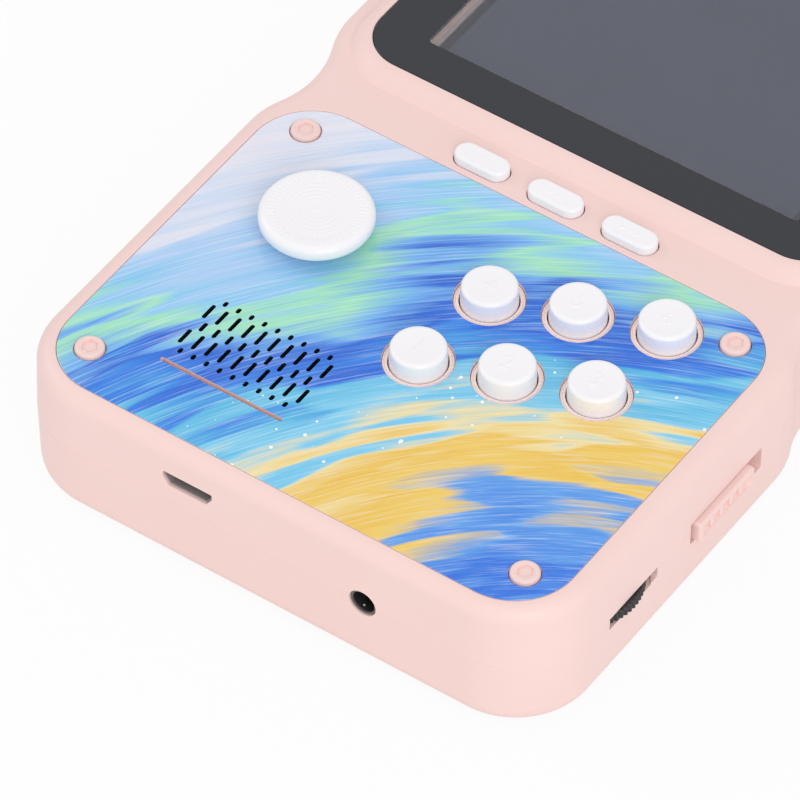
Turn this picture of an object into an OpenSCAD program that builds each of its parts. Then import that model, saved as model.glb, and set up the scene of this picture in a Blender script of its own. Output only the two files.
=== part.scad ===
// Handheld game console with a waist between its controls and its screen.
// Millimetres. X runs across the console, Y from its bottom end to its top end and Z out of
// its front. The origin is on the back face, midway along and across the body.

/* [Body] */
// Width of the lower body, across the controls
body_w = 89.6; // [89:0.2:96]
// Width of the head, across the screen
head_w = 90.4; // [89.2:0.2:96]
// Width of the waist between them
waist_w = 84.6; // [83.6:0.2:88]
// Height of the front deck above the back face
deck_z = 23; // [22.6:0.1:26]
// Height of the parting line above the back face
parting_z = 12.3; // [12.1:0.1:12.6]
// Radius of the four outer corners
corner_r = 12.4; // [11:0.2:14]
// Rounding of the front edge
front_edge_r = 2.5; // [1.5:0.1:2.6]
// Rounding of the back edge
back_edge_r = 3.5; // [2:0.1:5]
// Wall thickness of both shells
wall = 2; // [1.6:0.1:2.2]
// Thickness of the back shell's floor
floor_t = 2.6; // [2.4:0.1:3]
// Depth of the shut line between the shells
shut_line = 0.25; // [0.1:0.05:0.4]
// Thickness of the deck under the control plate
deck_t = 1.5; // [1.2:0.1:1.8]

/* [Control plate] */
// Length of the plate
plate_l = 62.8; // [62:0.2:66]
// Thickness of the plate
plate_t = 1; // [0.8:0.1:1.2]
// Corner radius of the plate
plate_r = 9.4; // [7:0.2:10]
// Margin from the plate to the side of the body
plate_side = 3.2; // [3:0.1:3.6]
// Margin from the plate to the bottom end of the body
plate_end = 2.75; // [2.75:0.05:4]
// Gap round the plate in its recess
plate_gap = 0.12; // [0.1:0.02:0.2]
// Distance from the plate's sides to its screws
screw_from_side = 5.6; // [5:0.1:6]
// Distance from the plate's bottom edge to the lower screws
screw_from_edge = 6.35; // [6:0.05:6.6]
// Distance from the plate's top edge to the upper screws
screw_from_top = 5.45; // [5:0.05:6]
// Radius of a plate screw's head
screw_head_r = 2.27; // [2:0.01:2.4]

/* [Round keys] */
// Radius of a key's cap
key_r = 4.08; // [3.6:0.02:4.2]
// Height of a cap above the plate
key_proud = 2.8; // [2:0.1:3.4]
// Travel of a key
key_travel = 1.3; // [0.8:0.1:1.4]
// Radius of the plate's hole round a key
key_hole_r = 5.08; // [5:0.02:5.4]
// Step from one key to the next, across the body
key_step = 12.52; // [12.3:0.02:13]
// Angle by which the rows climb
key_angle = 20.2; // [16:0.2:22]
// Distance between the two rows
row_step = 15.12; // [14.6:0.02:15.4]

/* [Thumb disc] */
// Radius of the disc
disc_r = 8.2; // [7.4:0.1:8.6]
// Thickness of the disc
disc_t = 2.2; // [1.8:0.1:2.6]
// Height of the disc's underside above the plate
disc_lift = 2; // [1.8:0.1:2.4]
// Radius of the ball that it tilts on
ball_r = 1.75; // [1.6:0.05:1.9]

/* [Menu keys] */
// Length of a menu key
menu_l = 8.7; // [8:0.1:9.4]
// Width of a menu key
menu_w = 3.8; // [3.4:0.1:4]
// Distance from one menu key to the next
menu_step = 12.4; // [12:0.1:13]
// Height of a menu key above the deck
menu_proud = 0.9; // [0.8:0.1:1.4]
// Travel of a menu key
menu_travel = 0.7; // [0.4:0.1:0.8]

/* [Screen] */
// Distance from the plate to the foot of the raised rim
band_l = 7.45; // [7:0.05:10]
// Width of the raised rim at its two ends
rim_end = 3.5; // [3:0.1:4]
// Width of the raised rim along its sides
rim_side = 2.7; // [2.4:0.1:2.8]
// Height of the raised rim above the deck
rim_h = 1.8; // [1.4:0.1:2.2]
// Margin from the rim to the top end of the body
head_end = 3.5; // [3.4:0.1:5]
// Width of the window
window_w = 78.8; // [78:0.2:79]
// Length of the window
window_l = 60.1; // [60:0.1:62]
// Corner radius of the window
window_r = 7; // [5:0.2:8]
// Thickness of the window
window_t = 1.1; // [0.9:0.1:1.2]
// Width of the opening over the display
view_w = 62.4; // [61.4:0.2:63]
// Length of the opening over the display
view_l = 46.4; // [46:0.1:47.4]
// Margin from the window's bottom edge to that opening
view_from_edge = 6.7; // [6.2:0.1:7]
// Thickness of the display module
display_t = 3; // [2.6:0.1:3.2]
// Width of the display's frame at its sides
bezel_side = 4; // [3.4:0.1:4.4]
// Width of the display's frame at its ends
bezel_end = 3.3; // [2.8:0.1:3.6]

/* [Speaker] */
// Radius of the speaker
speaker_r = 11.5; // [10.5:0.1:11.8]
// Depth of the speaker
speaker_t = 5.4; // [4.6:0.1:5.6]
// Distance between the grille's slots across the body
slot_pitch = 2.195; // [2:0.005:2.3]
// Width of a grille slot
slot_w = 0.6; // [0.4:0.05:0.8]

/* [Board] */
// Height of the board's underside above the back face
board_z = 14.4; // [14.3:0.05:14.5]
// Thickness of the board
board_t = 1.2; // [1:0.1:1.3]

/* [Ends and sides] */
// Distance of the audio jack from the middle
jack_x = 15.8; // [12:0.2:18]
// Radius of the audio jack's bore
jack_bore_r = 1.8; // [1.78:0.01:1.85]
// Depth of the audio jack's bore
jack_bore_l = 12; // [10:0.5:13]
// Distance of the charging socket from the middle
usb_x = 13.2; // [10:0.2:16]
// Radius of the volume wheel
wheel_r = 9; // [8:0.1:9.4]
// Thickness of the volume wheel
wheel_t = 1.6; // [1.2:0.1:1.6]
// Reach of the volume wheel past the wall
wheel_proud = 1; // [0.6:0.1:1.4]
// Number of ribs round the volume wheel
wheel_ribs = 56; // [40:2:64]
// Length of the power knob
knob_l = 13.5; // [11:0.5:14]
// Height of the power knob
knob_h = 3.6; // [3:0.1:3.8]
// Reach of the power knob past the wall
knob_proud = 1.1; // [0.8:0.1:1.6]
// Travel of the power knob
knob_travel = 2; // [1.5:0.1:2.2]
// Number of ribs across the power knob
knob_ribs = 4; // [3:1:5]

/* [Battery] */
// Length of the battery, across the body
battery_l = 53; // [50:0.5:54]
// Width of the battery, along the body
battery_w = 34; // [32:0.5:35]
// Thickness of the battery
battery_t = 5.7; // [5:0.1:5.8]
// Thickness of the battery cover
cover_t = 1.5; // [1.3:0.1:1.6]

/* [Hidden] */
$fn = 48;

shell_colour = [0.957, 0.839, 0.824];
key_colour = [0.957, 0.953, 0.965];
board_colour = [0.13, 0.36, 0.24];
silicone_colour = [0.83, 0.83, 0.8];
steel_colour = [0.74, 0.75, 0.77];

// Small clearances that several fits share.
slide_gap = 0.2;
part_gap = 0.3;
shaft_gap = 0.05;
draft = 0.2;
inner = wall + draft;

// Places along the body, added up from its bottom end.
body_l = plate_end + plate_l + band_l + 2 * rim_end + window_l + head_end;
y_end = -body_l / 2;
plate_y0 = y_end + plate_end;
plate_y1 = plate_y0 + plate_l;
plate_w = body_w - 2 * plate_side;
screw_x = plate_w / 2 - screw_from_side;
screw_y0 = plate_y0 + screw_from_edge;
screw_y1 = plate_y1 - screw_from_top;
panel_y = (screw_y0 + screw_y1) / 2;
waist_y = plate_y1 + 4.45;
rim_y0 = plate_y1 + band_l;
window_y0 = rim_y0 + rim_end;
rim_l = window_l + 2 * rim_end;
rim_y = rim_y0 + rim_l / 2;
view_y = window_y0 + view_from_edge + view_l / 2;

// Heights above the back face.
seat_z = deck_z - plate_t;
roof_z = seat_z - deck_t;
rim_z = deck_z + rim_h;
lens_z = rim_z - window_t - 0.1;
board_top = board_z + board_t;
display_top = lens_z - 1.3;

// The waist: on each side of its narrowest place an inward arc meets an outward one.
run_low = 11.4;
run_high = 13.6;
turn_low = 2 * atan((body_w - waist_w) / 2 / run_low);
turn_high = 2 * atan((head_w - waist_w) / 2 / run_high);
arcs_low = run_low / sin(turn_low);
arcs_high = run_high / sin(turn_high);
outward_share = 0.47;

// The keys, as offsets from the panel's centre. The first is at the lower left, a set distance
// in from the plate's right edge, so that the whole group keeps its place beside the screws.
first_key = [plate_w / 2 - 39.53, -1.59];
row_lean = 5.56;
key_places = [
    for (row = [0, 1]) for (i = [0:2])
        first_key + i * key_step * [cos(key_angle), sin(key_angle)]
            + row * row_step * [sin(row_lean), cos(row_lean)]
];
rocker_at = [-23.53, panel_y + 10.64];
menu_at = [0.5, plate_y1 + 3.2];
speaker_at = [-16.83, panel_y - 13.43];

flange_t = 1;
flange_top = roof_z - slide_gap;
flange_z = flange_top - flange_t;
flange_r = key_hole_r + 0.2;
pad_t = 0.8;
stop_gap = 0.05;
disc_z = deck_z + disc_lift;

jack_z = parting_z;
jack_nose_r = 2.1;
usb_z = board_top + 1.3;
wheel_x = body_w / 2 + wheel_proud - wheel_r;
wheel_y = panel_y - 13;
wheel_z = parting_z - slide_gap - wheel_t;
knob_y = panel_y + 9.25;
knob_z = parting_z - 1;
knob_slot_l = knob_l + knob_travel + 2;
knob_slot_y = knob_y + knob_travel / 2 + 0.25;
knob_x = body_w / 2 - inner - slide_gap;
lever_z = board_z - 2.1;
lever_w = 2;

cover_at = [0, panel_y + 15];
bay_w = battery_l + 1.5;
bay_l = battery_w + 1.2;
bay_wall = 1.2;
bay_top = cover_t + 2 * part_gap + battery_t;
cover_w = bay_w + 5.5;
cover_l = bay_l + 6.8;
cover_edge_y = cover_at.y + cover_l / 2;
tongue_x = 18;

boss_r = 2.8;
case_pilot_r = 1.05;
plate_screw_places = [for (x = [-screw_x, screw_x]) for (y = [screw_y0, screw_y1]) [x, y]];
case_screw_places = [for (x = [-1, 1]) each [
    [x * (body_w / 2 - 14.8), y_end + inner + boss_r + 0.7],
    [x * (waist_w / 2 - 5.8), waist_y + 4],
    [x * (head_w / 2 - 8.2), -y_end - 7.8]
]];

function arc(c, r, from, to, n, skip = 0) =
    [for (k = [skip:n]) let (a = from + (to - from) * k / n) c + r * [cos(a), sin(a)]];

// Right half of the body's outline, from bottom to top, drawn in by "inset" all round.
function half_outline(inset) = concat(
    arc([body_w / 2 - corner_r, y_end + corner_r], corner_r - inset, -90, 0, 10),
    arc([body_w / 2 - outward_share * arcs_low, waist_y - run_low],
        outward_share * arcs_low - inset, 0, turn_low, 4),
    arc([waist_w / 2 + (1 - outward_share) * arcs_low, waist_y],
        (1 - outward_share) * arcs_low + inset, 180 + turn_low, 180, 4, 1),
    arc([waist_w / 2 + (1 - outward_share) * arcs_high, waist_y],
        (1 - outward_share) * arcs_high + inset, 180, 180 - turn_high, 4, 1),
    arc([head_w / 2 - outward_share * arcs_high, waist_y + run_high],
        outward_share * arcs_high - inset, -turn_high, 0, 4, 1),
    arc([head_w / 2 - corner_r, -y_end - corner_r], corner_r - inset, 0, 90, 10)
);
function mirrored(half) =
    concat(half, [for (k = [len(half) - 1:-1:0]) [-half[k].x, half[k].y]]);

// A solid through outlines at several heights. Each outline is a right half and its mirror
// image, so both ends close with strips across the middle.
module loft(halves, heights) {
    n = len(halves[0]);
    m = 2 * n;
    top = (len(halves) - 1) * m;
    points = [for (k = [0:len(halves) - 1]) each [for (p = mirrored(halves[k]))
        [p.x, p.y, heights[k]]]];
    sides = [for (k = [0:len(halves) - 2]) for (j = [0:m - 1])
        let (a = k * m + j, d = k * m + (j + 1) % m) each [[a, a + m, d + m], [a, d + m, d]]];
    ends = [for (j = [0:n - 2]) let (q = m - 1 - j) each [
        [j, j + 1, q - 1], [j, q - 1, q],
        [top + q, top + q - 1, top + j + 1], [top + q, top + j + 1, top + j]
    ]];
    polyhedron(points, concat(sides, ends), convexity = 6);
}

// Plain 2D shapes with true arcs.
module round_rect(w, l, r) {
    square([w - 2 * r, l], center = true);
    square([w, l - 2 * r], center = true);
    for (x = [-1, 1]) for (y = [-1, 1])
        translate([x * (w / 2 - r), y * (l / 2 - r)]) circle(r);
}
module slab(w, l, r, z0, z1, at = [0, 0]) {
    translate([at.x, at.y, z0]) linear_extrude(z1 - z0) round_rect(w, l, r);
}
module block(x, y, z) {
    translate([x[0], y[0], z[0]]) cube([x[1] - x[0], y[1] - y[0], z[1] - z[0]]);
}
module rod(at, r, z0, z1) {
    translate([at.x, at.y, z0]) cylinder(r = r, h = z1 - z0);
}
module tube(at, outer_r, inner_r, z0, z1) {
    difference() {
        rod(at, outer_r, z0, z1);
        rod(at, inner_r, z0 - 1, z1 + 1);
    }
}
module slot_shape(w, l) {
    square([w, l - w], center = true);
    for (y = [-1, 1]) translate([0, y * (l - w) / 2]) circle(d = w);
}

// Front casing's outer form, from the shut line up round the front edge.
module front_form() {
    turns = [0:15:90];
    insets = concat([shut_line, 0], [for (a = turns) draft + front_edge_r * (1 - cos(a))]);
    heights = concat([parting_z, parting_z + shut_line],
        [for (a = turns) deck_z - front_edge_r * (1 - sin(a))]);
    loft([for (i = insets) half_outline(i)], heights);
}

// Back casing's outer form, from the flat back round its edge and up to the shut line.
module back_form() {
    turns = [90:-15:0];
    insets = concat([for (a = turns) draft + back_edge_r * (1 - cos(a))], [0, shut_line]);
    heights = concat([for (a = turns) back_edge_r * (1 - sin(a))],
        [parting_z - shut_line, parting_z]);
    loft([for (i = insets) half_outline(i)], heights);
}

// Right half of a rounded rectangle round the window.
function rim_outline(w, l, r) = concat(
    arc([w / 2 - r, rim_y - l / 2 + r], r, -90, 0, 8),
    arc([w / 2 - r, rim_y + l / 2 - r], r, 0, 90, 8));

// Raised rim: it rises steeply at its foot and levels off at the window's edge.
module rim_form() {
    steps = [0, 0.08, 0.2, 0.36, 0.56, 0.78, 1];
    crest = 0.35;
    foot_w = window_w + 2 * rim_side;
    halves = concat([rim_outline(foot_w, rim_l, window_r + rim_side)],
        [for (t = steps) rim_outline(
            foot_w - 2 * t * (rim_side - crest),
            rim_l - 2 * t * (rim_end - crest),
            window_r + rim_side - t * (rim_side - crest))]);
    heights = concat([deck_z - 0.5], [for (t = steps) deck_z + rim_h * sin(90 * t)]);
    loft(halves, heights);
}

// Half-round opening for the jack's nose, cut from both shells along the shut line.
module jack_hole() {
    translate([jack_x, y_end - 1, jack_z])
        rotate([-90, 0, 0]) cylinder(r = jack_nose_r + 0.08, h = inner + 3);
}
module wheel_pocket() {
    rod([wheel_x, wheel_y], wheel_r + 0.4, wheel_z - 0.3, parting_z + 0.02);
    block([body_w / 2 - inner - 0.5, body_w / 2 + 1], [wheel_y - 3.9, wheel_y + 6.6],
        [wheel_z - 0.15, parting_z + 0.02]);
}
module knob_slot() {
    block([body_w / 2 - inner - 1.5, body_w / 2 + 1],
        [knob_slot_y - knob_slot_l / 2, knob_slot_y + knob_slot_l / 2],
        [knob_z - knob_h / 2 - slide_gap, knob_z + knob_h / 2 + slide_gap]);
}

module front_shell() color(shell_colour) {
    difference() {
        union() {
            difference() {
                union() {
                    front_form();
                    rim_form();
                }
                translate([0, 0, parting_z - 1])
                    linear_extrude(roof_z - parting_z + 1) polygon(mirrored(half_outline(inner)));
                translate([0, 0, parting_z - 1])
                    linear_extrude(2.1) polygon(mirrored(half_outline(inner / 2)));
            }
            // Bosses for the case screws reach down to the board.
            for (p = case_screw_places) rod(p, boss_r, board_top, roof_z + 0.5);
            for (p = plate_screw_places) rod(p, boss_r, roof_z - 3, roof_z + 0.5);
            // Ring that holds the speaker.
            tube(speaker_at, speaker_r + 1.2, speaker_r + 0.2, roof_z - 3, roof_z + 0.5);
        }
        slab(plate_w + 2 * plate_gap, plate_l + 2 * plate_gap, plate_r + plate_gap,
            seat_z, deck_z + 1, [0, (plate_y0 + plate_y1) / 2]);
        slab(window_w, window_l, window_r, lens_z, rim_z + 1, [0, rim_y]);
        slab(view_w, view_l, 0.8, roof_z - 1, rim_z, [0, view_y]);
        slab(display_w + 0.4, display_l + 0.4, 1, roof_z - 1, display_top, [0, view_y]);
        for (p = key_places) rod([p.x, p.y + panel_y], key_r + slide_gap, roof_z - 1, rim_z);
        rod(rocker_at, rocker_hole_r, roof_z - 1, rim_z);
        for (i = [-1:1]) slab(menu_l + 0.3, menu_w + 0.3, (menu_w + 0.3) / 2 - 0.01,
            roof_z - 1, rim_z, [menu_at.x + i * menu_step, menu_at.y]);
        for (row = grille_rows) slab(row[1] * slot_pitch + 0.4, row[2] + 0.6, 0.4,
            roof_z - 1, rim_z, [speaker_at.x, speaker_at.y + row[0]]);
        for (p = plate_screw_places) rod(p, plate_pilot_r, seat_z - 4.6, seat_z + 1);
        for (p = case_screw_places) rod(p, case_pilot_r, board_top - 1, board_top + 4.2);
        translate([-usb_x, y_end + inner + 1, usb_z]) rotate([90, 0, 0])
            linear_extrude(inner + 3) polygon(usb_opening);
        jack_hole();
        knob_slot();
    }
    // Collars round the keys stand up through the plate's holes and locate it.
    for (p = key_places) tube([p.x, p.y + panel_y], key_hole_r - 0.08, key_r + slide_gap,
        seat_z - 0.5, deck_z - part_gap);
}
display_w = 69;
display_l = 52.6;
rocker_hole_r = 5;
plate_pilot_r = 1;

// Outline of the charging socket: wide at the top, with both lower corners cut off.
function usb_outline(half_w, half_h, corner_z, foot) = [[-half_w, half_h], [half_w, half_h],
    [half_w, corner_z], [foot, -half_h], [-foot, -half_h], [-half_w, corner_z]];
usb_opening = usb_outline(4.1, 1.15, 0.25, 3.15);
usb_lip = usb_outline(4.04, 1.09, 0.25, 3.13);
usb_body = usb_outline(3.75, 1.29, 0.1, 3);
usb_cavity = usb_outline(3.5, 0.92, 0.2, 2.75);

// Grille rows: height in the pattern, number of slots and length of a slot.
grille_rows = [[5.28, 9, 1], [2.86, 10, 2.9], [0.03, 9, 1.8], [-2.75, 10, 2.9], [-5.32, 9, 1]];

module back_shell() color(shell_colour) difference() {
    union() {
        difference() {
            back_form();
            translate([0, 0, floor_t])
                linear_extrude(parting_z) polygon(mirrored(half_outline(inner)));
        }
        // Lip that stands inside the front shell's wall.
        translate([0, 0, parting_z - 1]) linear_extrude(2) difference() {
            polygon(mirrored(half_outline(inner / 2 + 0.1)));
            polygon(mirrored(half_outline(inner)));
        }
        for (p = case_screw_places) rod(p, boss_r + 0.5, floor_t - 0.5, board_z);
        slab(bay_w + 2 * bay_wall, bay_l + 2 * bay_wall, 1, floor_t - 0.5, bay_top + bay_wall,
            cover_at);
    }
    slab(bay_w, bay_l, 0.5, -1, bay_top, cover_at);
    slab(cover_w + 2 * slide_gap, cover_l + 2 * slide_gap, 2.2, -1, cover_t, cover_at);
    // Slots for the cover's two tongues, and a scoop for a fingertip at its latch.
    for (x = [-1, 1]) block([x * tongue_x - 4, x * tongue_x + 4],
        [cover_edge_y - 4, cover_edge_y + 2.3], [cover_t - 0.1, cover_t + 2]);
    translate([0, cover_edge_y - cover_l - 1, -9.2]) sphere(r = 10.4, $fn = 64);
    // The contact block looks into the bay through this window.
    block([cover_at.x - bay_w / 2 - bay_wall - 1, cover_at.x - bay_w / 2 + 1],
        [cover_at.y - contact_l / 2 - 0.2, cover_at.y + contact_l / 2 + 0.2],
        [cover_t + 1.5, bay_top + bay_wall + 1]);
    for (p = case_screw_places) {
        rod(p, case_pilot_r + 0.1, -1, board_z + 1);
        rod(p, case_head_r + 0.3, -1, case_seat_z);
    }
    jack_hole();
    wheel_pocket();
    knob_slot();
}
contact_l = 14;
contact_t = 2.6;
case_head_r = 2;
case_seat_z = 8.6;

module control_plate() color([0.46, 0.72, 0.94]) difference() {
    slab(plate_w, plate_l, plate_r, seat_z, deck_z, [0, (plate_y0 + plate_y1) / 2]);
    for (p = key_places) rod([p.x, p.y + panel_y], key_hole_r, seat_z - 1, deck_z + 1);
    rod(rocker_at, rocker_hole_r + 0.6, seat_z - 1, deck_z + 1);
    for (p = plate_screw_places) {
        rod(p, plate_pilot_r + 0.25, seat_z - 1, deck_z + 1);
        rod(p, screw_head_r + 0.18, seat_z + 0.4, deck_z + 1);
    }
    translate([speaker_at.x, speaker_at.y, seat_z - 1]) linear_extrude(plate_t + 2)
        for (row = grille_rows) for (k = [0:row[1] - 1])
            translate([(k - (row[1] - 1) / 2) * slot_pitch, row[0]])
                slot_shape(slot_w, row[2]);
    // Slit below the grille, as long as its widest rows, through which the deck shows.
    translate([speaker_at.x, speaker_at.y - 7.97, seat_z - 1]) linear_extrude(plate_t + 2)
        rotate(90) slot_shape(slot_w, (grille_rows[1][1] - 1) * slot_pitch + slot_w);
}

module plate_screws() color(shell_colour) for (p = plate_screw_places) {
    head_top = deck_z + 0.55;
    difference() {
        union() {
            translate([p.x, p.y, seat_z + 0.4]) rotate_extrude() polygon([
                [0, 0], [screw_head_r, 0], [screw_head_r, head_top - seat_z - 0.65],
                [screw_head_r - 0.25, head_top - seat_z - 0.4], [0, head_top - seat_z - 0.4]]);
            rod(p, plate_pilot_r - shaft_gap, seat_z - 4, seat_z + 1);
        }
        translate([p.x, p.y, head_top - 0.5]) cylinder(r = 1.25, h = 1, $fn = 6);
    }
}

module case_screws() color(steel_colour) for (p = case_screw_places) difference() {
    union() {
        rod(p, case_pilot_r - shaft_gap, case_seat_z - 1, board_top + 3.8);
        translate([p.x, p.y, case_seat_z - 1.6]) cylinder(r1 = case_head_r - 0.3,
            r2 = case_head_r, h = 0.4);
        rod(p, case_head_r, case_seat_z - 1.2, case_seat_z);
    }
    for (turn = [0, 90]) translate([p.x, p.y, case_seat_z - 1.3]) rotate(turn)
        cube([2.2, 0.5, 1.2], center = true);
}

module window_lens() color([0.24, 0.25, 0.28])
    slab(window_w - 0.2, window_l - 0.2, window_r - 0.1, lens_z, lens_z + window_t, [0, rim_y]);

module display_frame() color([0.66, 0.62, 0.64]) difference() {
    slab(display_w, display_l, 0.8, display_top - display_t, display_top, [0, view_y]);
    slab(display_w - 2 * bezel_side, display_l - 2 * bezel_end, 0.5, display_top - panel_t - 0.3,
        display_top + 1, [0, view_y]);
}
module display_panel() color([0.38, 0.39, 0.43])
    slab(display_w - 2 * bezel_side - slide_gap, display_l - 2 * bezel_end - slide_gap, 0.4,
        display_top - panel_t - 0.3, display_top - 0.3, [0, view_y]);
panel_t = 1.1;

// Two foam strips press the display against the front shell.
module display_pads() color([0.2, 0.2, 0.22]) for (y = [-1, 1])
    slab(display_w - 13, foam_w, 1, board_top, display_top - display_t,
        [0, view_y + y * (display_l / 2 - 9)]);
foam_w = 5;

// Flat cable that leaves the display's lower edge and turns back under it to its connector.
module display_ribbon() color([0.72, 0.45, 0.16]) {
    low = board_top + 1;
    high = display_top - display_t + 0.3;
    bend = (high - low) / 2;
    edge = view_y - display_l / 2;
    lead_out = 1.5;
    half_t = 0.075;
    translate([ribbon_w / 2, 0, 0]) rotate([90, 0, -90]) linear_extrude(ribbon_w) {
        translate([-edge, high - half_t]) square([lead_out, 2 * half_t]);
        translate([-edge + lead_out, low + bend]) intersection() {
            difference() {
                circle(bend + half_t);
                circle(bend - half_t);
            }
            translate([0, -bend - 1]) square([bend + 2, 2 * bend + 2]);
        }
        translate([-edge - 3.4, low - half_t]) square([lead_out + 3.4, 2 * half_t]);
    }
}
ribbon_w = 24;
module ribbon_connector() color([0.16, 0.16, 0.17]) difference() {
    y0 = view_y - display_l / 2 + 1;
    half_w = ribbon_w / 2 + slide_gap;
    block([-half_w - 1.8, half_w + 1.8], [y0, y0 + 4.6], [board_top, board_top + 1.8]);
    block([-half_w, half_w], [y0 - 1, y0 + 2.5], [board_top + 0.85, board_top + 1.15]);
}

module main_board() color(board_colour) difference() {
    translate([0, 0, board_z]) linear_extrude(board_t)
        polygon(mirrored(half_outline(inner + 0.9)));
    rod(speaker_at, speaker_r + 0.5, board_z - 1, board_top + 1);
    for (p = case_screw_places) rod(p, case_pilot_r + 0.2, board_z - 1, board_top + 1);
}
module board_chips() color([0.12, 0.12, 0.13]) {
    for (chip = chips) slab(chip[1], chip[2], 0.3, board_z - chip[3], board_z,
        [chip[0], view_y - chip_row]);
}
// How far the row of chips lies below the display's middle, and for each chip its distance
// from the middle of the board, its width, length and height.
chip_row = 10.4;
chips = [[-6, 10, 10, 1], [10, 6, 8, 1], [24, 5, 4, 1.4]];

// Soft pads: a thin web on the board, with a dome under each key.
module key_pad() color(silicone_colour) {
    margin = dome_r + 1;
    corner = [for (c = [0, 2, 5, 3]) key_places[c]];
    push = [[[-1, 0], [-0.4, -1]], [[0.6, -0.9], [1, -0.3]],
        [[1, 0.2], [0.4, 1]], [[-0.6, 0.9], [-1, 0.3]]];
    translate([0, panel_y, board_top]) linear_extrude(pad_t)
        polygon([for (k = [0:3]) for (q = push[k]) corner[k] + margin * q]);
    for (p = key_places) translate([p.x, p.y + panel_y, board_top + pad_t])
        cylinder(r1 = dome_r, r2 = 0.7 * dome_r, h = flange_z - board_top - pad_t - slide_gap);
}
dome_r = 4.4;
module menu_pad() color(silicone_colour) {
    slab(2 * menu_step + menu_l + 3, menu_w + 4, 1.5, board_top, board_top + pad_t, menu_at);
    for (i = [-1:1]) translate([menu_at.x + i * menu_step, menu_at.y, board_top + pad_t])
        cylinder(r1 = menu_dome_r, r2 = 0.7 * menu_dome_r,
            h = flange_z - board_top - pad_t - slide_gap);
}
menu_dome_r = 2.6;
module rocker_pad() color(silicone_colour) {
    tube(rocker_at, disc_r + 1, ball_r + 0.6, board_top, board_top + pad_t);
    for (turn = [0:90:270]) translate([rocker_at.x, rocker_at.y, board_top + pad_t])
        rotate(turn) translate([rocker_hole_r - 0.4, 0, 0])
            cylinder(r1 = rocker_dome_r, r2 = 0.7 * rocker_dome_r,
                h = rocker_flange_z - board_top - pad_t - slide_gap);
}
rocker_dome_r = 1.7;

// A round key: rounded edge, hollow underside, and a flange that stays under the deck. The skirt
// below the flange meets the pad when the key is pressed home.
module round_key(p) color(key_colour) {
    top = deck_z + key_proud;
    edge = 0.6;
    skirt_z = board_top + pad_t + key_travel + stop_gap;
    skirt_t = 0.5;
    translate([p.x, p.y + panel_y, 0]) {
        rotate_extrude() polygon(concat(
            [[0, flange_z + 2.2], [2.6, flange_z + 2.2], [2.6, flange_z],
            [flange_r - skirt_t, flange_z], [flange_r - skirt_t, skirt_z], [flange_r, skirt_z],
            [flange_r, flange_top], [key_r, flange_top]],
            arc([key_r - edge, top - edge], edge, 0, 90, 4),
            [[key_r - 1.4, top], [0, top - 0.12]]));
        for (turn = [0, 180]) rotate(turn)
            block([-0.8, 0.8], [flange_r - 0.5, flange_r + 0.7], [flange_z, flange_top]);
    }
}
module key_1() round_key(key_places[0]);
module key_2() round_key(key_places[1]);
module key_3() round_key(key_places[2]);
module key_4() round_key(key_places[3]);
module key_5() round_key(key_places[4]);
module key_6() round_key(key_places[5]);

// A menu key: an obround cap with a rounded edge over a wider flange.
module menu_key(i) color(key_colour) {
    at = [menu_at.x + i * menu_step, menu_at.y];
    top = deck_z + menu_proud;
    edge = 0.3;
    slab(menu_l, menu_w, menu_w / 2 - 0.01, flange_z, top - edge, at);
    for (a = [0, 30, 60]) slab(menu_l - 2 * edge * (1 - cos(a)), menu_w - 2 * edge * (1 - cos(a)),
        menu_w / 2 - edge * (1 - cos(a)) - 0.01, top - edge, top - edge * (1 - sin(a + 30)), at);
    slab(menu_l + 1.6, menu_w + 1.6, menu_w / 2 + 0.79, flange_z, flange_top, at);
    // Feet at both ends meet the pad when the key is pressed home.
    for (side = [-1, 1]) slab(1, menu_w - 1.4, 0.3, board_top + pad_t + menu_travel + stop_gap,
        flange_z, [at.x + side * (menu_l / 2 - 0.5), at.y]);
}
module menu_key_1() menu_key(-1);
module menu_key_2() menu_key(0);
module menu_key_3() menu_key(1);

rocker_stem_r = 3.2;
rocker_flange_r = rocker_hole_r + 0.8;
rocker_flange_top = roof_z - 1.35;
rocker_flange_z = rocker_flange_top - 0.9;
ball_z = board_top + ball_r + shaft_gap;
socket_z = ball_z - 0.5;

module thumb_disc() color(key_colour) translate([rocker_at.x, rocker_at.y, 0])
    rotate_extrude() {
        top = disc_z + disc_t;
        edge = 1.1;
        rings = [2.2, 2.9, 3.6, 4.3, 5];
        polygon(concat(
            [[0, disc_z + 0.6], [rocker_stem_r + 0.02, disc_z + 0.6],
            [rocker_stem_r + 0.02, disc_z - 1.4], [rocker_stem_r + 1, disc_z - 1.4],
            [rocker_stem_r + 1, disc_z], [disc_r - 0.6, disc_z], [disc_r, disc_z + 0.6]],
            arc([disc_r - edge, top - edge], edge, 0, 90, 4),
            [for (k = [len(rings) - 1:-1:0]) each [
                [rings[k] + 0.45, top - 0.15], [rings[k] + 0.25, top - 0.05],
                [rings[k] + 0.05, top - 0.15]]],
            [[0.7, top - 0.2], [0.5, top - 0.05], [0, top - 0.05]]));
    }

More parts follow.
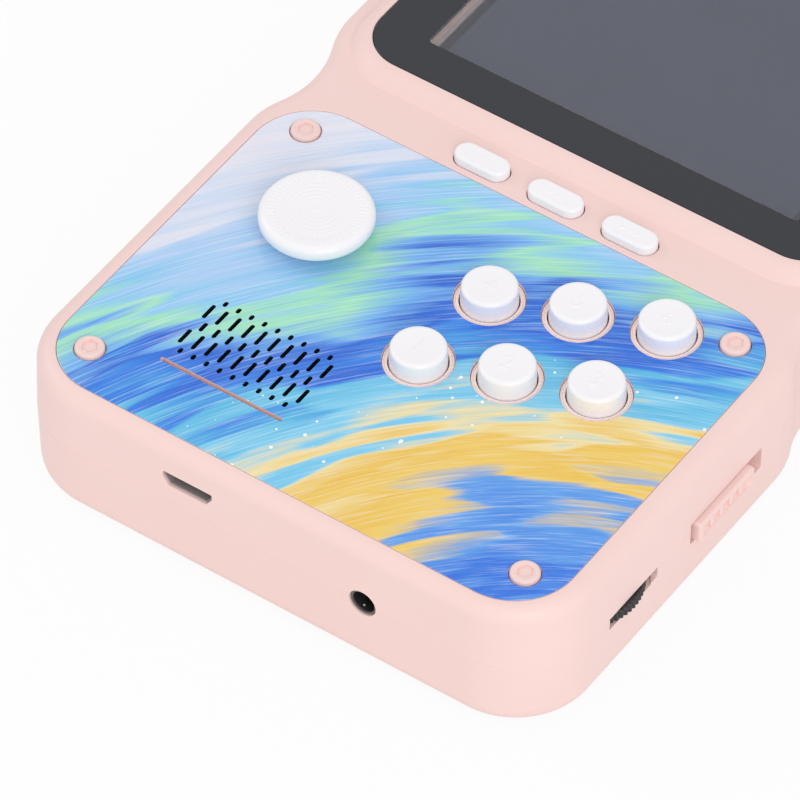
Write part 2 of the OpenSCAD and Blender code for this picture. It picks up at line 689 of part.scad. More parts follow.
// Rocker base: a stem through the deck, a flange under it and a cup that sits on the ball.
module rocker_base() color(key_colour) translate([rocker_at.x, rocker_at.y, 0]) difference() {
    union() {
        cylinder_between(rocker_stem_r, rocker_flange_top - 0.2, disc_z + 0.55);
        cylinder_between(rocker_flange_r, rocker_flange_z, rocker_flange_top);
        cylinder_between(ball_r + 1.2, socket_z, rocker_flange_z + 0.2);
    }
    translate([0, 0, ball_z]) sphere(r = ball_r + shaft_gap);
    cylinder_between(ball_r + shaft_gap, socket_z - 1, ball_z);
}
module cylinder_between(r, z0, z1) translate([0, 0, z0]) cylinder(r = r, h = z1 - z0);
module rocker_ball() color(steel_colour)
    translate([rocker_at.x, rocker_at.y, ball_z]) sphere(r = ball_r);

module speaker() color([0.16, 0.16, 0.17]) translate([speaker_at.x, speaker_at.y, 0]) {
    top = roof_z - gasket_t;
    cylinder_between(speaker_r, top - 1.6, top);
    translate([0, 0, top - 3.2]) cylinder(r1 = speaker_r - 4, r2 = speaker_r - 0.6, h = 1.6);
    cylinder_between(speaker_r - 3.5, top - speaker_t, top - 3.2);
}
gasket_t = 0.4;
module speaker_gasket() color([0.1, 0.1, 0.1])
    tube(speaker_at, speaker_r, speaker_r - 1.6, roof_z - gasket_t, roof_z);

// Charging socket: a drawn steel shell on the board, with a tongue inside. Its mouth reaches
// forward through the wall and all but fills the opening.
module usb_socket() color(steel_colour) {
    mouth_y = y_end + 0.45;
    body_y = y_end + inner + 0.15;
    body_l = 5.2;
    difference() {
        union() {
            socket_slice(body_y, body_y + body_l) polygon(usb_body);
            socket_slice(mouth_y, body_y + 1) polygon(usb_lip);
        }
        socket_slice(mouth_y - 1, body_y + body_l - 1) polygon(usb_cavity);
    }
    socket_slice(mouth_y + 0.7, body_y + body_l - 0.5)
        translate([-2.4, 0.1]) square([4.8, 0.5]);
}
module socket_slice(y0, y1) translate([-usb_x, y1, usb_z]) rotate([90, 0, 0])
    linear_extrude(y1 - y0) children();

// Audio jack: a block under the board with a round nose in the shells' hole.
module audio_jack() color([0.12, 0.12, 0.13]) {
    y0 = y_end + inner + 0.15;
    difference() {
        union() {
            block([jack_x - 3, jack_x + 3], [y0, y0 + jack_bore_l - 1], [jack_z - 2.3, board_z]);
            translate([jack_x, y_end + 0.35, jack_z]) rotate([-90, 0, 0])
                cylinder(r = jack_nose_r, h = inner + 1);
        }
        translate([jack_x, y_end - 1, jack_z]) rotate([-90, 0, 0])
            cylinder(r = jack_bore_r, h = jack_bore_l + 1.35);
    }
}

// Volume wheel: ribbed round its rim, with a bore on the control's shaft.
module volume_wheel() color([0.14, 0.14, 0.15]) {
    step = 360 / wheel_ribs;
    root_r = wheel_r - 0.3;
    translate([wheel_x, wheel_y, wheel_z]) difference() {
        linear_extrude(wheel_t) difference() {
            polygon([for (k = [0:wheel_ribs - 1]) each [
                for (e = [[0, root_r], [0.3, root_r], [0.42, wheel_r], [0.88, wheel_r]])
                    e[1] * [cos((k + e[0]) * step), sin((k + e[0]) * step)]]]);
            circle(pot_shaft_r + shaft_gap);
        }
        translate([0, 0, wheel_t - 0.5]) cylinder(r = wheel_r - 2.2, h = 1);
    }
}
pot_shaft_r = 1.5;
pot_r = 5.4;
module volume_pot() color([0.3, 0.3, 0.31]) translate([wheel_x, wheel_y, 0]) {
    cylinder_between(pot_r, parting_z + 0.25, board_z);
    cylinder_between(pot_shaft_r, wheel_z - 0.3, parting_z + 0.5);
    cylinder_between(pot_shaft_r + 0.8, wheel_z - 0.7, wheel_z - slide_gap);
}

// Power knob: a ribbed cap outside the wall, a guide behind it and a fork round the lever.
module power_knob() color(shell_colour) {
    reach = body_w / 2 + knob_proud;
    y0 = knob_y - knob_l / 2;
    y1 = knob_y + knob_l / 2;
    z0 = knob_z - knob_h / 2;
    z1 = knob_z + knob_h / 2;
    frame = 0.8;
    rib_w = 0.9;
    wells = knob_ribs + 1;
    pitch = (knob_l - 2 * frame + rib_w) / wells;
    difference() {
        translate([knob_x - 0.2, 0, 0]) rotate([90, 0, 90]) linear_extrude(reach - knob_x + 0.2)
            translate([knob_y, knob_z]) square([knob_l, knob_h], center = true);
        for (k = [0:wells - 1]) block([reach - 0.6, reach + 1],
            [y0 + frame + k * pitch, y0 + frame + (k + 1) * pitch - rib_w],
            [z0 + frame, z1 - frame]);
        // Chamfers round the cap's face.
        for (side = [-1, 1]) {
            translate([reach, knob_y, knob_z + side * knob_h / 2]) rotate([0, 45, 0])
                cube([0.5, knob_l + 1, 0.5], center = true);
            translate([reach, knob_y + side * knob_l / 2, knob_z]) rotate([0, 0, 45])
                cube([0.5, 0.5, knob_h + 1], center = true);
        }
    }
    block([knob_x - 1.3, knob_x], [y0 - 3, y1 + 3], [z0 - 0.9, z1 + 0.9]);
    for (side = [-1, 1]) translate([knob_x - 2.2, knob_y + side * (lever_w / 2 + 0.75), lever_z])
        cube([2, 1.3, 1.8], center = true);
}
can_x1 = knob_x - 3.6;
can_x0 = can_x1 - 5;
module switch_lever() color([0.14, 0.14, 0.15])
    block([can_x0 + 1.2, knob_x - 1.5], [knob_y - lever_w / 2, knob_y + lever_w / 2],
        [lever_z - 0.7, lever_z + 0.7]);
module power_switch() color(steel_colour) difference() {
    block([can_x0, can_x1], [knob_y - 5.5, knob_y + 5.5], [lever_z - 1.7, board_z]);
    block([can_x0 + 0.9, can_x1 + 1],
        [knob_y - lever_w / 2 - slide_gap, knob_y + lever_w / 2 + knob_travel + slide_gap],
        [lever_z - 0.85, lever_z + 0.85]);
}

module battery() color([0.22, 0.3, 0.46])
    slab(battery_l, battery_w, 1.5, cover_t + part_gap, cover_t + part_gap + battery_t, cover_at);

// Contact block with three sprung blades, hanging from the board into the bay's window.
module battery_contacts() color([0.82, 0.66, 0.3]) {
    x1 = cover_at.x - bay_w / 2 - 0.2;
    block([x1 - contact_t, x1], [cover_at.y - contact_l / 2, cover_at.y + contact_l / 2],
        [cover_t + 1.8, board_z]);
    for (k = [-1:1]) block([x1 - 0.1, cover_at.x - battery_l / 2 - 0.05],
        [cover_at.y + k * 4 - 0.8, cover_at.y + k * 4 + 0.8], [cover_t + 2.5, cover_t + 4.5]);
}

// Cover: two tongues hook under the shell at one end, a slotted latch tab is at the other.
module battery_cover() color(shell_colour) {
    y0 = cover_at.y - cover_l / 2;
    difference() {
        slab(cover_w, cover_l, 2, 0, cover_t, cover_at);
        for (x = [-1, 1]) block([x * 7 - 0.4, x * 7 + 0.4], [y0 - 1, y0 + 5.5], [-1, cover_t + 1]);
        translate([0, y0 + 1, -9.2]) sphere(r = 9.9, $fn = 64);
    }
    for (x = [-1, 1]) block([x * tongue_x - 3.5, x * tongue_x + 3.5],
        [cover_edge_y - 3.4, cover_edge_y + 1.8], [cover_t, cover_t + 0.9]);
}

front_shell();
back_shell();
control_plate();
plate_screws();
case_screws();
window_lens();
display_frame();
display_panel();
display_pads();
display_ribbon();
ribbon_connector();
main_board();
board_chips();
key_pad();
menu_pad();
rocker_pad();
key_1();
key_2();
key_3();
key_4();
key_5();
key_6();
menu_key_1();
menu_key_2();
menu_key_3();
thumb_disc();
rocker_base();
rocker_ball();
speaker();
speaker_gasket();
usb_socket();
audio_jack();
volume_wheel();
volume_pot();
power_knob();
switch_lever();
power_switch();
battery();
battery_contacts();
battery_cover();
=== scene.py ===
import math

import bmesh
import bpy
from mathutils import Matrix, Vector


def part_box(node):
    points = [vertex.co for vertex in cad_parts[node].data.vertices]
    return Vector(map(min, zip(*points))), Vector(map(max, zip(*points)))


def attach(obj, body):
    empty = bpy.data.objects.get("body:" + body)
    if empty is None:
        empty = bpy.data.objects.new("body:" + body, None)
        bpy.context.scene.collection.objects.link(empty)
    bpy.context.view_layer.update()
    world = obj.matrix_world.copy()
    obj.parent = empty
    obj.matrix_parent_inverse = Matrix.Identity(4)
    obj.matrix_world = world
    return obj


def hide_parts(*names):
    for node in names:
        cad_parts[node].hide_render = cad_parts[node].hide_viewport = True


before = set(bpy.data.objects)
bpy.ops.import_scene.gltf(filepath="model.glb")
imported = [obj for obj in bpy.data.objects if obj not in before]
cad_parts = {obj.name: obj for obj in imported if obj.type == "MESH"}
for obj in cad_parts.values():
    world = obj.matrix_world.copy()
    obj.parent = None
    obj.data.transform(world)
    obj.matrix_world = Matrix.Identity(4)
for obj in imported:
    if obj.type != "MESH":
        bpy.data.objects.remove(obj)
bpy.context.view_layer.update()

# Front shell
# One moulded ABS shell in pale pink, with a waist between the controls and the screen. A soft rim
# swells up round the window, and low collars stand up through the control plate's key holes. The
# mould is spark-eroded, which gives the plastic a fine, even mattness.
MM = 0.001
body_w, head_w, waist_w = 89.6, 90.4, 84.6
body_end = -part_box("back_shell")[0].y / MM
corner_r, edge_r, draft, wall = 12.4, 2.5, 0.2, 2.2
parting_z, deck_z, roof_z, shut_line = 12.3, 23.0, 20.5, 0.09
waist_y, run_low, run_high, outward_share = -1.8, 11.4, 13.6, 0.47
plate_low, plate_high = (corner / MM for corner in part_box("control_plate"))
plate_mid = (plate_low + plate_high) / 2
plate_r, plate_gap, seat_z = 9.4, 0.12, 22.0
lens_low, lens_high = (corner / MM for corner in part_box("window_lens"))
rim_mid = (lens_low + lens_high) / 2
rim_side, rim_end, rim_z, rim_crest = 2.7, 3.5, 24.8, 0.35
window_w, window_l, window_r = 78.8, 60.1, 7.0
view_w, view_l, view_r, view_y = 62.4, 46.4, 0.8, 34.6
display_w, display_l, display_top, display_gap = 69.0, 52.6, 22.3, 0.2
key_r, key_gap, collar_top = 4.08, 0.2, 22.72
key_nodes = [f"key_{k}" for k in range(1, 7)]
menu_nodes = [f"menu_key_{k}" for k in range(1, 4)]
menu_l, menu_w = 8.7, 3.8


def middle(node):
    """The middle of a CAD node's box, in mm."""
    low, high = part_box(node)
    return (low + high) / 2 / MM


key_places = [middle(node) for node in key_nodes]
menu_places = [middle(node) for node in menu_nodes]
rocker = middle("thumb_disc")
speaker = middle("speaker")


def arc(x, y, r, start, stop, n):
    """Points along an arc, between two angles in degrees."""
    turns = [math.radians(start + (stop - start) * k / n) for k in range(n + 1)]
    return [(x + r * math.cos(t), y + r * math.sin(t)) for t in turns]


def body_outline(inset):
    """The body from the front, drawn in by inset: a corner, the waist, a corner, and mirrored."""
    half_w, half_head, half_waist = body_w / 2, head_w / 2, waist_w / 2
    turn_low = 2 * math.degrees(math.atan((half_w - half_waist) / run_low))
    turn_high = 2 * math.degrees(math.atan((half_head - half_waist) / run_high))
    low = run_low / math.sin(math.radians(turn_low))
    high = run_high / math.sin(math.radians(turn_high))
    out_low, out_high = outward_share * low, outward_share * high
    in_low, in_high = low - out_low, high - out_high
    half = arc(half_w - corner_r, corner_r - body_end, corner_r - inset, -90, 0, 28)
    half += arc(half_w - out_low, waist_y - run_low, out_low - inset, 0, turn_low, 12)
    half += arc(half_waist + in_low, waist_y, in_low + inset, 180 + turn_low, 180, 12)[1:]
    half += arc(half_waist + in_high, waist_y, in_high + inset, 180, 180 - turn_high, 12)[1:]
    half += arc(half_head - out_high, waist_y + run_high, out_high - inset, -turn_high, 0, 12)[1:]
    half += arc(half_head - corner_r, body_end - corner_r, corner_r - inset, 0, 90, 28)
    return half + [(-x, y) for x, y in reversed(half)]


def rounded(w, l, r, at=(0, 0), n=12):
    """A rounded rectangle's outline, as a function of how far it is drawn in."""
    def outline(inset):
        a, b, c = w / 2 - inset, l / 2 - inset, max(r - inset, 0.02)
        corners = [(a - c, c - b, -90), (a - c, b - c, 0), (c - a, b - c, 90), (c - a, c - b, 180)]
        return [(at[0] + x, at[1] + y) for cx, cy, start in corners
                for x, y in arc(cx, cy, c, start, start + 90, n)]
    return outline


def placed(name, data):
    """A new object in the scene, at the origin and unturned."""
    piece = bpy.data.objects.new(name, data)
    bpy.context.scene.collection.objects.link(piece)
    return piece


def from_bmesh(name, shape):
    """A mesh object out of a bmesh, which is freed."""
    mesh = bpy.data.meshes.new(name)
    shape.to_mesh(mesh)
    shape.free()
    return placed(name, mesh)


def from_rings(name, rings, place=Matrix(), closed=False):
    """A mesh object through rings of points. Open ends are capped, unless the rings close up."""
    shape = bmesh.new()
    rings = [[shape.verts.new(place @ (Vector(p) * MM)) for p in ring] for ring in rings]
    pairs = list(zip(rings, rings[1:])) + ([(rings[-1], rings[0])] if closed else [])
    for low, high in pairs:
        for k in range(len(low)):
            shape.faces.new((low[k - 1], low[k], high[k], high[k - 1]))
    if not closed:
        shape.faces.new(rings[0])
        shape.faces.new(rings[-1])
    bmesh.ops.remove_doubles(shape, verts=shape.verts, dist=1e-7)
    bmesh.ops.recalc_face_normals(shape, faces=shape.faces)
    return from_bmesh(name, shape)


def solid(name, outline, steps, place=Matrix()):
    """A closed solid through an outline at several heights. Steps are (height, inset) in mm."""
    return from_rings(name, [[(x, y, z) for x, y in outline(inset)] for z, inset in steps], place)


def turned(name, profile, at=(0, 0), n=96, place=Matrix(), closed=False):
    """A round solid about an upright axis, through (radius, height) points of its profile."""
    rings = [[(at[0] + r * math.cos(math.tau * k / n), at[1] + r * math.sin(math.tau * k / n), z)
              for k in range(n)] for r, z in profile]
    return from_rings(name, rings, place, closed)


def mouth(deep, surface, r, n=4):
    """Steps of a cutter that leaves a rounded edge of radius r where it meets a surface."""
    way = math.copysign(1, surface - deep)
    turns = [math.radians(90 * k / n) for k in range(n + 1)]
    edge = [(surface - way * r * (1 - math.sin(t)), -r * (1 - math.cos(t))) for t in turns]
    return [(deep, 0)] + edge + [(surface + way, -r)]


def applied(piece):
    """Makes the piece's modifiers part of its mesh."""
    seen = piece.evaluated_get(bpy.context.evaluated_depsgraph_get())
    mesh = bpy.data.meshes.new_from_object(seen)
    piece.modifiers.clear()
    piece.data = mesh
    return piece


def carved(piece, tools, operation="DIFFERENCE"):
    """Cuts the tools out of a piece, or unites them with it, and removes them."""
    for tool in tools:
        step = piece.modifiers.new("carve", "BOOLEAN")
        step.operation, step.solver, step.object = operation, "MANIFOLD", tool
    applied(piece)
    for tool in tools:
        bpy.data.objects.remove(tool)
    return piece


def finished(piece, body, finish, nodes=(), crease=32):
    """Shades a piece, gives it its finish, and hands it to its body in place of CAD nodes."""
    piece.data.shade_smooth()
    piece.data.set_sharp_from_angle(angle=math.radians(crease))
    normals = piece.modifiers.new("normals", "WEIGHTED_NORMAL")
    normals.keep_sharp = True
    applied(piece)
    piece.data.materials.clear()
    piece.data.materials.append(finish)
    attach(piece, body)
    if nodes:
        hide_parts(*nodes)
    return piece


def linear(colour):
    """An sRGB hex colour as linear values."""
    parts = [int(colour[k:k + 2], 16) / 255 for k in (1, 3, 5)]
    return [c / 12.92 if c <= 0.04045 else ((c + 0.055) / 1.055) ** 2.4 for c in parts] + [1]


def add(tree, kind, inputs, **settings):
    """Adds a node with its settings. An input takes a value or another node's output."""
    node = tree.nodes.new(kind)
    for name, value in settings.items():
        setattr(node, name, value)
    for name, value in inputs.items():
        if isinstance(value, bpy.types.NodeSocket):
            tree.links.new(value, node.inputs[name])
        else:
            node.inputs[name].default_value = value
    return node


def blank(finish):
    """The node tree of a new material or world, emptied."""
    finish.use_nodes = True
    finish.node_tree.nodes.clear()
    return finish.node_tree


def moulded(name, colour, shade, roughness, grain=0.3, depth=0.01, ior=1.5, glow=0.0, metal=0.0):
    """A plain finish: two close tones drift over it every 18 mm, and its grain is grain mm."""
    finish = bpy.data.materials.new(name)
    tree = blank(finish)
    place = add(tree, "ShaderNodeTexCoord", {}).outputs["Object"]
    drift = add(tree, "ShaderNodeTexNoise", {"Vector": place, "Scale": 1 / (18 * MM),
                "Detail": 2.0})
    tone = add(tree, "ShaderNodeMix", {0: drift.outputs["Fac"], 6: linear(colour),
               7: linear(shade)}, data_type="RGBA")
    speck = add(tree, "ShaderNodeTexNoise", {"Vector": place, "Scale": 1 / (grain * MM),
                "Detail": 3.0, "Roughness": 0.6})
    bump = add(tree, "ShaderNodeBump", {"Height": speck.outputs["Fac"], "Strength": 1.0,
               "Distance": depth * MM})
    shader = add(tree, "ShaderNodeBsdfPrincipled", {"Base Color": tone.outputs[2],
                 "Roughness": roughness, "IOR": ior, "Normal": bump.outputs["Normal"],
                 "Metallic": metal, "Subsurface Weight": glow,
                 "Subsurface Radius": (1.0, 1.0, 1.0), "Subsurface Scale": 0.8 * MM})
    add(tree, "ShaderNodeOutputMaterial", {"Surface": shader.outputs["BSDF"]})
    return finish


# A soft, even pink with a dull sheen. Spark-eroded ABS has a grain of about 0.05 mm; 0.35 mm is as
# fine as shows from a step away.
pink_abs = moulded("spark_eroded_pink_abs", "#F6D8D3", "#F3D2CD", 0.46, 0.35, 0.006)

fine_turns = [math.radians(90 * k / 10) for k in range(11)]
coarse_turns = fine_turns[::2]


def soft_edge(top, r, inset=0.0, turns=fine_turns):
    """Steps up a rounded edge of radius r that ends at a height, as (height, inset)."""
    return [(top - r * (1 - math.sin(t)), inset + r * (1 - math.cos(t))) for t in turns]


shell_steps = [(parting_z, shut_line), (parting_z + shut_line, 0)]
front_shell = solid("front_casing", body_outline, shell_steps + soft_edge(deck_z, edge_r, draft))


def rim_ring(t, z):
    """The rim's outline at a share t of the way from its foot to its crest."""
    side, end = t * (rim_side - rim_crest), t * (rim_end - rim_crest)
    outline = rounded(window_w + 2 * (rim_side - side), window_l + 2 * (rim_end - end),
                      window_r + rim_side - side, rim_mid, 24)
    return [(x, y, z) for x, y in outline(0)]


# The shares lie close together at the foot, where the rim is steepest.
rim_shares = [(k / 16) ** 1.4 for k in range(17)]
rim_rings = [rim_ring(0, deck_z - 0.5)] + [
    rim_ring(t, deck_z + (rim_z - deck_z) * math.sin(math.pi / 2 * t)) for t in rim_shares]
carved(front_shell, [from_rings("rim", rim_rings)], "UNION")

# Each row of the grille as its height above the speaker's middle, its slots and their length.
grille_rows = [(5.28, 9, 1.0), (2.86, 10, 2.9), (0.03, 9, 1.8), (-2.75, 10, 2.9), (-5.32, 9, 1.0)]
slot_pitch, slot_w, rocker_hole_r = 2.195, 0.6, 5.0
openings = [
    solid("inside", body_outline, [(parting_z - 1, wall), (roof_z, wall)]),
    solid("lip_step", body_outline, [(parting_z - 1, wall / 2), (parting_z + 1.1, wall / 2)]),
    solid("plate_seat", rounded(plate_high.x - plate_low.x + 2 * plate_gap,
          plate_high.y - plate_low.y + 2 * plate_gap, plate_r + plate_gap, plate_mid, 24),
          mouth(seat_z, deck_z, 0.16)),
    solid("window_seat", rounded(window_w, window_l, window_r, rim_mid, 24),
          mouth(lens_low.z, rim_z, 0.18)),
    solid("view", rounded(view_w, view_l, view_r, (0, view_y)), [(roof_z - 1, 0), (rim_z, 0)]),
    solid("display_seat", rounded(display_w + 2 * display_gap, display_l + 2 * display_gap, 1,
          (0, view_y)), [(roof_z - 1, 0), (display_top, 0)]),
]
round_holes = [(rocker, rocker_hole_r)] + [(place, key_r + key_gap) for place in key_places]
for place, r in round_holes:
    openings.append(turned("round_hole", [(0, roof_z - 1), (r, roof_z - 1), (r, rim_z),
                                          (0, rim_z)], place))
for place in menu_places:
    openings.append(solid("menu_hole", rounded(menu_l + 0.3, menu_w + 0.3, menu_w / 2 + 0.15,
                          place), mouth(roof_z - 1, deck_z, 0.12)))
for y, count, length in grille_rows:
    openings.append(solid("grille_opening", rounded(count * slot_pitch + 0.4, length + 0.6, 0.4,
                          (speaker.x, speaker.y + y)), [(roof_z - 1, 0), (rim_z, 0)]))
carved(front_shell, openings)

# The side openings are cut by solids that lie on their backs: along Y at the bottom end and
# along X at the right side.
end_y, side_x = -body_end, body_w / 2
usb, jack = middle("usb_socket"), middle("audio_jack")
wheel, knob = middle("volume_wheel"), middle("power_knob")
jack.z = parting_z
knob_l, knob_h, knob_travel, jack_hole = 13.5, 3.6, 2.0, 4.36
slot_l, slot_y = knob_l + knob_travel + 2, knob.y + knob_travel / 2 + 0.25
to_bottom_end = Matrix.Rotation(math.radians(90), 4, "X")
to_right_side = Matrix.Rotation(math.radians(90), 4, "Z") @ to_bottom_end
usb_mouth, jack_mouth = (usb.x, end_y, usb.z), (jack.x, end_y, jack.z)
usb_half_w, usb_half_h, usb_half_foot, usb_corner = 4.1, 1.15, 3.15, 0.3


def usb_outline(inset):
    """The socket's mouth: wide and square on top, drawn in at the lower corners."""
    a, b, c = usb_half_w - inset, usb_half_h - inset, usb_half_foot - inset / 2
    right = [(c, -b), (a, 0.25)] + arc(a - usb_corner, b - usb_corner, usb_corner, 0, 90, 6)
    return right + [(-x, y) for x, y in reversed(right)]


def at_wall(name, outline, steps, place, turn):
    """A solid that is built along Z and then turned into a wall at a place in mm."""
    return solid(name, outline, steps, Matrix.Translation(Vector(place) * MM) @ turn)


def side_cutters():
    """Cutters for the openings in the bottom end and the right side."""
    return [
        at_wall("usb_mouth", usb_outline, mouth(-4, 0.03, 0.12), usb_mouth, to_bottom_end),
        at_wall("jack_mouth", rounded(jack_hole, jack_hole, jack_hole / 2, n=16),
                mouth(-4, 0.03, 0.14), jack_mouth, to_bottom_end),
        at_wall("knob_mouth", rounded(slot_l, knob_h + 0.4, 0.25, n=4), mouth(-4, 0.03, 0.1),
                (side_x, slot_y, knob.z), to_right_side),
    ]


carved(front_shell, side_cutters())

# Each collar has a fine groove half way across its top.
collar = [(key_r + key_gap, seat_z - 0.4), (key_r + key_gap, collar_top - 0.08),
          (4.36, collar_top), (4.6, collar_top), (4.66, collar_top - 0.14),
          (4.74, collar_top - 0.16), (4.79, collar_top - 0.04), (4.94, collar_top - 0.04),
          (5.0, collar_top - 0.12), (5.0, seat_z - 0.4)]


def joined(name, pieces):
    """One mesh object out of several, which are removed."""
    shape = bmesh.new()
    for piece in pieces:
        shape.from_mesh(piece.data)
        bpy.data.objects.remove(piece)
    return from_bmesh(name, shape)


collars = joined("key_collars", [turned("collar", collar, place, closed=True)
                                 for place in key_places])
finished(front_shell, "console", pink_abs, ["front_shell"])
# The collars are the casing's pink painted paler, as painted light for what their thin walls let
# through; a little subsurface adds real translucency.
painted_paler_pink_abs = moulded("pink_abs_painted_paler", "#FFEAE6", "#FFE7E2", 0.46, 0.35, 0.006, glow=0.3)
finished(collars, "console", painted_paler_pink_abs)

# Back shell
# The other half of the casing, in the same plastic. Its flat back has the battery cover let into
# it and six deep screw wells, and a sliver of the volume wheel shows through its right wall.
back_edge_r, back_t, well_r, well_top = 3.5, 2.6, 2.3, 8.6
back_edge = [(-z, inset) for z, inset in reversed(soft_edge(0, back_edge_r, draft))]
back_shell = solid("back_casing", body_outline,
                   back_edge + [(parting_z - shut_line, 0), (parting_z, shut_line)])
cover_w, cover_l, cover_t, cover_y, cover_gap = 60.0, 42.0, 1.5, -22.2, 0.2
bay_w, bay_l, bay_top = 54.5, 35.2, 8
case_screw_places = [(x * side, y) for side in (-1, 1)
                     for x, y in ((30, -66.1), (36.5, 2.2), (37, 64))]
wheel_r, wheel_z0, wheel_z1 = 9.0, 10.5, 12.1
back_tools = [
    solid("inside", body_outline, [(back_t, wall), (parting_z + 1, wall)]),
    solid("cover_seat", rounded(cover_w + 2 * cover_gap, cover_l + 2 * cover_gap, 2.2,
          (0, cover_y)), mouth(cover_t, 0, 0.15)),
    solid("bay", rounded(bay_w, bay_l, 0.5, (0, cover_y)), [(cover_t - 0.2, 0), (bay_top, 0)]),
    turned("wheel_pocket", [(0, wheel_z0 - 0.3), (wheel_r + 0.4, wheel_z0 - 0.3),
           (wheel_r + 0.4, parting_z + 0.1), (0, parting_z + 0.1)], wheel),
    at_wall("wheel_mouth", rounded(10.5, 4.0, 0.3, n=4), mouth(-2.7, 0.03, 0.1),
            (side_x, wheel.y + 1.35, parting_z + 0.15), to_right_side),
] + side_cutters()
for place in case_screw_places:
    back_tools.append(turned("screw_well", [(0, well_top), (well_r, well_top), (well_r, 0.15),
                             (well_r + 0.06, 0.04), (well_r + 0.2, 0.0), (well_r + 0.2, -1),
                             (0, -1)], place, 48))
carved(back_shell, back_tools)
finished(back_shell, "console", pink_abs, ["back_shell"])

# Control plate
# A one-millimetre acrylic plate, printed on its back and let into the deck. Its colours are those
# of a watercolour: broad ribbons laid on with a wide brush, and flicked white paint.
plate_fit, plate_edge, screw_seat_z = 0.07, 0.2, seat_z + 0.4
key_window_r, rocker_window_r, screw_hole_r = 5.08, 5.6, 2.3
slit_l, slit_below = 20.3, 7.97
screw_places = [(x, y) for x in (-36, 36) for y in (-62.7, -11.7)]
plate = solid("printed_plate", rounded(plate_high.x - plate_low.x + 2 * plate_fit,
              plate_high.y - plate_low.y + 2 * plate_fit, plate_r + plate_fit, plate_mid, 24),
              [(seat_z, 0)] + soft_edge(deck_z, plate_edge, turns=coarse_turns))


def plate_hole(name, r, bottom, place, n):
    """A round cutter from the deck down, which takes the sharp edge off the hole's mouth."""
    return turned(name, [(0, bottom), (r, bottom), (r, deck_z - 0.1), (r + 0.03, deck_z - 0.03),
                  (r + 0.1, deck_z), (r + 0.1, deck_z + 1), (0, deck_z + 1)], place, n)


plate_tools = [plate_hole("key_window", key_window_r, seat_z - 1, place, 96)
               for place in key_places]
plate_tools += [plate_hole("screw_seat", screw_hole_r, screw_seat_z, place, 64)
                for place in screw_places]
plate_tools.append(turned("rocker_window", [(0, seat_z - 1), (rocker_window_r, seat_z - 1),
                   (rocker_window_r, deck_z + 1), (0, deck_z + 1)], rocker))
plate_tools.append(solid("slit", rounded(slit_l, slot_w, slot_w / 2,
                         (speaker.x, speaker.y - slit_below), 4),
                         mouth(seat_z - 1, deck_z, 0.06, 2)))
carved(plate, plate_tools)


def begun_tree(name, kinds):
    """A Geometry Nodes tree, each named input's identifier, and the inputs as they run in."""
    tree = bpy.data.node_groups.new(name, "GeometryNodeTree")
    sockets = {}
    for label, kind in {"Geometry": "Geometry", **kinds}.items():
        sockets[label] = tree.interface.new_socket(label, in_out="INPUT",
                                                   socket_type="NodeSocket" + kind).identifier
    tree.interface.new_socket("Geometry", in_out="OUTPUT", socket_type="NodeSocketGeometry")
    return tree, sockets, add(tree, "NodeGroupInput", {}).outputs


def ended_tree(tree, geometry, material):
    """Ends a tree: everything is made real, in one material."""
    real = add(tree, "GeometryNodeRealizeInstances", {"Geometry": geometry})
    dressed = add(tree, "GeometryNodeSetMaterial", {"Geometry": real.outputs["Geometry"],
                  "Material": material})
    add(tree, "NodeGroupOutput", {"Geometry": dressed.outputs["Geometry"]})


def grown(piece, tree, sockets, values):
    """Puts a tree on a piece, with the values of its named inputs."""
    step = piece.modifiers.new(tree.name, "NODES")
    step.node_group = tree
    for label, value in values.items():
        step[sockets[label]] = value


# The grille: one modifier cuts one row of slots out of the plate.
grille, grille_sockets, row_in = begun_tree("grille_row", {
    "Slot": "Object", "Count": "Int", "Start": "Vector", "Step": "Vector",
    "Material": "Material"})
row = add(grille, "GeometryNodeMeshLine", {"Count": row_in["Count"],
          "Start Location": row_in["Start"], "Offset": row_in["Step"]}, mode="OFFSET")
slot_shape = add(grille, "GeometryNodeObjectInfo", {"Object": row_in["Slot"]})
slots = add(grille, "GeometryNodeInstanceOnPoints", {"Points": row.outputs["Mesh"],
            "Instance": slot_shape.outputs["Geometry"]})
real = add(grille, "GeometryNodeRealizeInstances", {"Geometry": slots.outputs["Instances"]})
left = add(grille, "GeometryNodeMeshBoolean", {"Mesh 1": row_in["Geometry"],
           "Mesh 2": real.outputs["Geometry"]}, operation="DIFFERENCE", solver="EXACT")
ended_tree(grille, left.outputs["Mesh"], row_in["Material"])


